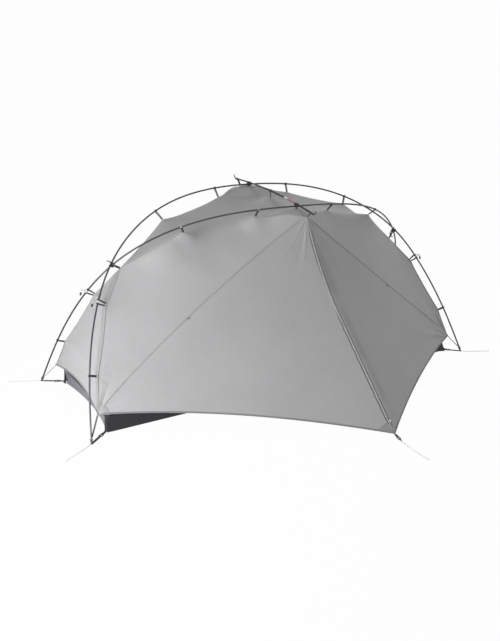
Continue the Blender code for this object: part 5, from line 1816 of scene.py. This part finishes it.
def floor_ring(spread, height):
    """The floor's edge with round corners. Its two ends draw in between them, most at the ground."""
    arcs = []
    for end, sx, sy in (("foot", -1, -1), ("head", 1, -1), ("head", 1, 1), ("foot", -1, 1)):
        x, half = FLOOR_ENDS[end]
        inset = spread - CORNER_ROUND
        start = math.atan2(sy, sx) - math.pi / 4
        turns = np.linspace(start, start + math.pi / 2, CORNER_STEPS)
        middle = np.array((x + sx * inset, sy * (half + inset)))
        arcs.append(middle + CORNER_ROUND * spokes(turns, (1.0, 0.0), (0.0, 1.0)))
    full = []
    for here, after, count in zip(arcs, arcs[1:] + arcs[:1], FLOOR_SIDE_STEPS):
        full += [here, between(here[-1], after[0], count + 2)[1:-1]]
    x, y = np.concatenate(full).T
    share = 1 - FLOOR_DRAW_FADE * height / FLOOR_WALL
    for end_x, half in FLOOR_ENDS.values():
        near = smoothstep(FLOOR_DRAW_REACH, 0.0, np.abs(x - end_x))
        pull = -math.copysign(FLOOR_DRAW, end_x)
        x = x + pull * near * np.clip(1 - (y / half) ** 2, 0.0, 1.0) * share
    return np.stack([x, y], axis=1)


def floor_grid():
    """Rings from the middle of the floor out to its edge, and up its wall to the rim."""
    low = FLOOR_FABRIC / 2
    base = floor_ring(-low, 0.0)
    rings = []
    for share in FLOOR_SHARES:
        flat = base * share
        ruck = np.abs(np.prod(np.sin(flat * FLOOR_RUCK_PITCH), axis=1)) * (share < 0.9)
        rings.append(np.column_stack([flat, low + FLOOR_RUCK * ruck]))
    for share in np.linspace(0.0, 1.0, 11):
        height = low + (FLOOR_WALL - low) * share
        flat = floor_ring(-low + (FLOOR_SPREAD + low) * share, height)
        wave = FLOOR_WALL_WAVE * np.sin(np.arange(len(flat)) * 0.55) * math.sin(math.pi * share)
        flat = flat - rows_unit(flat) * np.abs(wave)[:, None]
        rings.append(np.column_stack([flat, np.full(len(flat), height)]))
    return np.array(rings)


def build_floor():
    grid = floor_grid()
    count = grid.shape[1]
    build = Build("floor", "floor_end", "tape")
    build.grid(grid, 0, projected(grid, (1, 0, 0.3), (0, 1, 0.9)), wrap=True)
    build.fan(grid[0])
    for number in range(count * len(FLOOR_SHARES), count * (len(grid) - 1)):
        x, y, _ = np.mean([build.points[c] for c in build.faces[number]], axis=0)
        end_x, half = FLOOR_ENDS["foot" if x < 0 else "head"]
        if abs(x - end_x) < FLOOR_DRAW + 0.006 and abs(y) < half - 0.012:
            build.slots[number] = 1
    item = settle(build.object("floor_tray"), "tent", "floor", "bathtub_floor")
    top = np.concatenate([grid[-1], grid[-1][:1]])
    outwards = np.column_stack([rows_unit(top[:, :2]), np.zeros(len(top))])
    rim = Build("floor")
    band, uv = strip(top, outwards, RIM_PROFILE, FAR_ABOVE)
    rim.grid(band, 0, uv)
    taped = settle(rim.object("floor_rim_seam"), "tent", "inner")
    ears = [build_ear(end, side, label) for end in ENDS for side, label in LABELS.items()]


def build_ear(end, side, label):
    """The floor's corner, drawn out to a point round its strap."""
    centre = corner_centre(end, side)
    away = unit(pole_end(side, end)[0][:2] - centre)
    square = np.array((-away[1], away[0]))
    bend = np.linspace(-1.0, 1.0, 25)
    height = 0.003 + (FLOOR_WALL - 0.012) * (1 - np.abs(bend) ** 1.7)
    radius = CORNER_ROUND + FLOOR_FLARE * height / FLOOR_WALL + 0.0010
    flat = centre + radius[:, None] * spokes(bend * EAR_SPREAD, away, square)
    tip = centre + away * (CORNER_ROUND + EAR_LENGTH[end]) + np.outer(bend * EAR_TIP, square)
    tip_height = 0.004 + 0.0125 * (1 - np.abs(bend) ** 3)
    rows = []
    for share in np.linspace(0.0, 1.0, 17):
        drop = 1 - (1 - share) ** 1.6
        rows.append(np.column_stack([flat + (tip - flat) * share, height + (tip_height - height) * drop]))
    build = Build("floor")
    build.grid(np.array(rows))
    ear = build.object(f"floor_ear_{end}_{label}")
    ear.modifiers.new("fabric", "SOLIDIFY").thickness = EAR_THICK
    return settle(ear, "tent", "floor")


def canopy_wall():
    """One long wall of the canopy as a grid, from the floor's rim up to the crown."""
    corners = []
    for end, inset in (("foot", CANOPY_INSET - FLOOR_SPREAD), ("head", FLOOR_SPREAD - CANOPY_INSET)):
        x, half = FLOOR_ENDS[end]
        corners.append(np.array((x + inset, -half - FLOOR_SPREAD, FLOOR_WALL + CANOPY_LIFT)))
    base = between(*corners, CANOPY_COLUMNS + 1)
    for sign, corner in zip((1.0, -1.0), corners):
        near = np.exp(-((distance(base, corner) / CORNER_ROUND) ** 2))[:, None]
        base = base + near * CANOPY_CORNER * (sign, 1.0, 0.0)
    top = Route(CANOPY_TOP)
    crown = np.array([top.point(s) for s in np.linspace(0.0, top.length, CANOPY_COLUMNS + 1)])
    up = np.linspace(0.0, 1.0, CANOPY_RISE + 1)[:, None, None]
    return base * (1 - up) + crown * up


def build_canopy():
    """The inner tent of thin cloth, with its doorway cut out and the zip round that."""
    wall = canopy_wall()
    turns = np.linspace(1.0, -1.0, 17)[1:-1]
    roof = np.array([wall[-1] * (1.0, t, 1.0) - UPWARDS * CANOPY_SAG * (1 - t * t) for t in turns])
    grid = np.concatenate([wall, roof, on_side(wall, REAR)[::-1]])
    build = Build("inner", "floor", "floor_end")
    for rows, surface in ((grid[1:-1], 0), (grid[:2], 1), (grid[-2:], 1)):
        build.grid(rows, surface, projected(rows, LENGTHWISE, (0, 0.5, 0.9)))
    half = len(grid) // 2 + 1
    bulge = bow(np.linspace(0.0, 1.0, 15)[:, None])
    rise = np.clip(1 - np.arange(half) / 12.0, 0.0, 1.0)[:, None, None]
    for column, sign in ((0, 1.0), (-1, -1.0)):
        line = grid[:, column]
        end = ruled(line[:half], line[::-1][:half], 14)
        end = end + LENGTHWISE * sign * bulge * rise * FLOOR_DRAW * CANOPY_END_PULL
        for rows, surface in ((end[1:], 0), (end[:2], 2)):
            build.grid(rows, surface, projected(rows, BACKWARDS, UPWARDS))
    item = build.object("inner_shell", weld=1e-5, outwards=INSIDE)
    thick = item.modifiers.new("fabric", "SOLIDIFY")
    thick.thickness = CANOPY_FABRIC
    thick.offset = 0.0
    cutter = door_cutter()
    cut = item.modifiers.new("doorway", "BOOLEAN")
    cut.operation = "DIFFERENCE"
    cut.object = cutter
    cut.solver = "EXACT"
    bpy.context.view_layer.update()
    shaped = bpy.data.meshes.new_from_object(item.evaluated_get(bpy.context.evaluated_depsgraph_get()))
    item.modifiers.clear()
    item.data = shaped
    bpy.data.objects.remove(cutter)
    shaped.shade_smooth()
    shaped.set_sharp_from_angle(angle=math.radians(50))
    settle(item, "tent", "inner", "inner_canopy")
    zipped = Build("tape", "coil")
    turns = np.linspace(0.02, math.pi - 0.02, 72)
    arc = door_points(DOOR_RADIUS, turns)
    for surface, profile in enumerate((DOORWAY_TAPE, DOORWAY_COIL)):
        band, uv = strip(arc, DOOR_OUT, profile, DOOR_PLACE)
        zipped.grid(band, surface, uv)
    track = settle(zipped.object("inner_door_zip"), "tent", "inner")


def door_points(radius, turns, out=0.0):
    """Points of the half-round door by radius and turn. out is how far they stand proud of it."""
    return DOOR_PLACE + radius * spokes(turns, DOOR_ACROSS, DOOR_UP) + np.outer(out, DOOR_OUT)


def door_cutter():
    """The half-round solid that opens the doorway."""
    turns = np.linspace(0.0, math.pi, 49)
    depths = (-CUTTER_HALF, CUTTER_HALF)
    layers = np.array([door_points(DOOR_RADIUS + DOOR_GAP, turns, out) for out in depths])
    layers[:, [0, -1]] -= DOOR_UP * DOOR_GAP
    build = Build("inner")
    build.bar(layers)
    return build.object("doorway_cutter")


def build_inner_door():
    turns = np.linspace(0.0, math.pi, 49)
    dip = DOOR_DIP * np.sin(turns)
    shares = np.linspace(0.0, 1.0, 16)
    grid = np.array([door_points(DOOR_RADIUS * s, turns, -dip * math.sin(math.pi * s)) for s in shares])
    build = Build("inner", "tape")
    build.grid(grid, 0, projected(grid, DOOR_ACROSS, DOOR_UP))
    band, uv = strip(grid[-1][1:-1], DOOR_OUT, DOOR_TAPE, DOOR_PLACE)
    build.grid(band, 1, uv)
    item = settle(build.object("inner_door_cloth"), "inner_door_leaf", "inner", "inner_door")


build_floor()
build_canopy()
build_inner_door()


# Floor of the studio, light and background


def seen_rays(tree):
    """One where a ray comes from the camera, a reflection or through glass."""
    rays = wire(tree, "ShaderNodeLightPath").outputs
    seen = ("MAXIMUM", rays["Is Camera Ray"], rays["Is Glossy Ray"])
    return calc(tree, ("MAXIMUM", seen, rays["Is Transmission Ray"]))


def mix_shaders(tree, share, first, second, output):
    mixed = wire(tree, "ShaderNodeMixShader", {"Fac": share, 1: first, 2: second})
    feed(tree, tree.nodes[output].inputs["Surface"], mixed.outputs["Shader"])


def build_studio():
    mesh = bpy.data.meshes.new("studio_floor")
    corners = [(x * FLOOR_SIZE, y * FLOOR_SIZE, 0) for x, y in ((-1, -1), (1, -1), (1, 1), (-1, 1))]
    mesh.from_pydata(corners, [], [(0, 1, 2, 3)])
    look = Look("studio_white")
    look.give(Roughness=0.9, Base_Color=FLOOR_WHITE)
    plain = wire(look.tree, "ShaderNodeEmission", {"Color": WHITE, "Strength": 1.0}).outputs["Emission"]
    share = calc(look.tree, ("MULTIPLY", seen_rays(look.tree), FLOOR_GLOW))
    mix_shaders(look.tree, share, look.shader.outputs["BSDF"], plain, "Material Output")
    mesh.materials.append(look.material)
    floor = show(bpy.data.objects.new("studio_floor", mesh))
    floor.location.z = -FLOOR_DEPTH


def build_world():
    world = bpy.data.worlds.new("studio")
    world.use_nodes = True
    tree = world.node_tree
    background = tree.nodes["Background"]
    background.inputs["Color"].default_value = WHITE
    background.inputs["Strength"].default_value = WORLD_LIGHT
    plain = wire(tree, "ShaderNodeBackground", {"Color": WHITE, "Strength": 1.0}).outputs["Background"]
    mix_shaders(tree, seen_rays(tree), background.outputs["Background"], plain, "World Output")
    bpy.context.scene.world = world


def area_light(name, place, size, power):
    data = bpy.data.lights.new(name, "AREA")
    data.shape = "DISK"
    data.size = size
    data.energy = power
    lamp = show(bpy.data.objects.new(name, data))
    lamp.location = place
    lamp.visible_camera = False
    towards = Vector(LIGHT_AIM) - Vector(place)
    lamp.rotation_euler = towards.to_track_quat("-Z", "Y").to_euler()


build_studio()
build_world()
for lamp_settings in LIGHTS:
    area_light(*lamp_settings)
bpy.context.scene.view_settings.view_transform = "Standard"
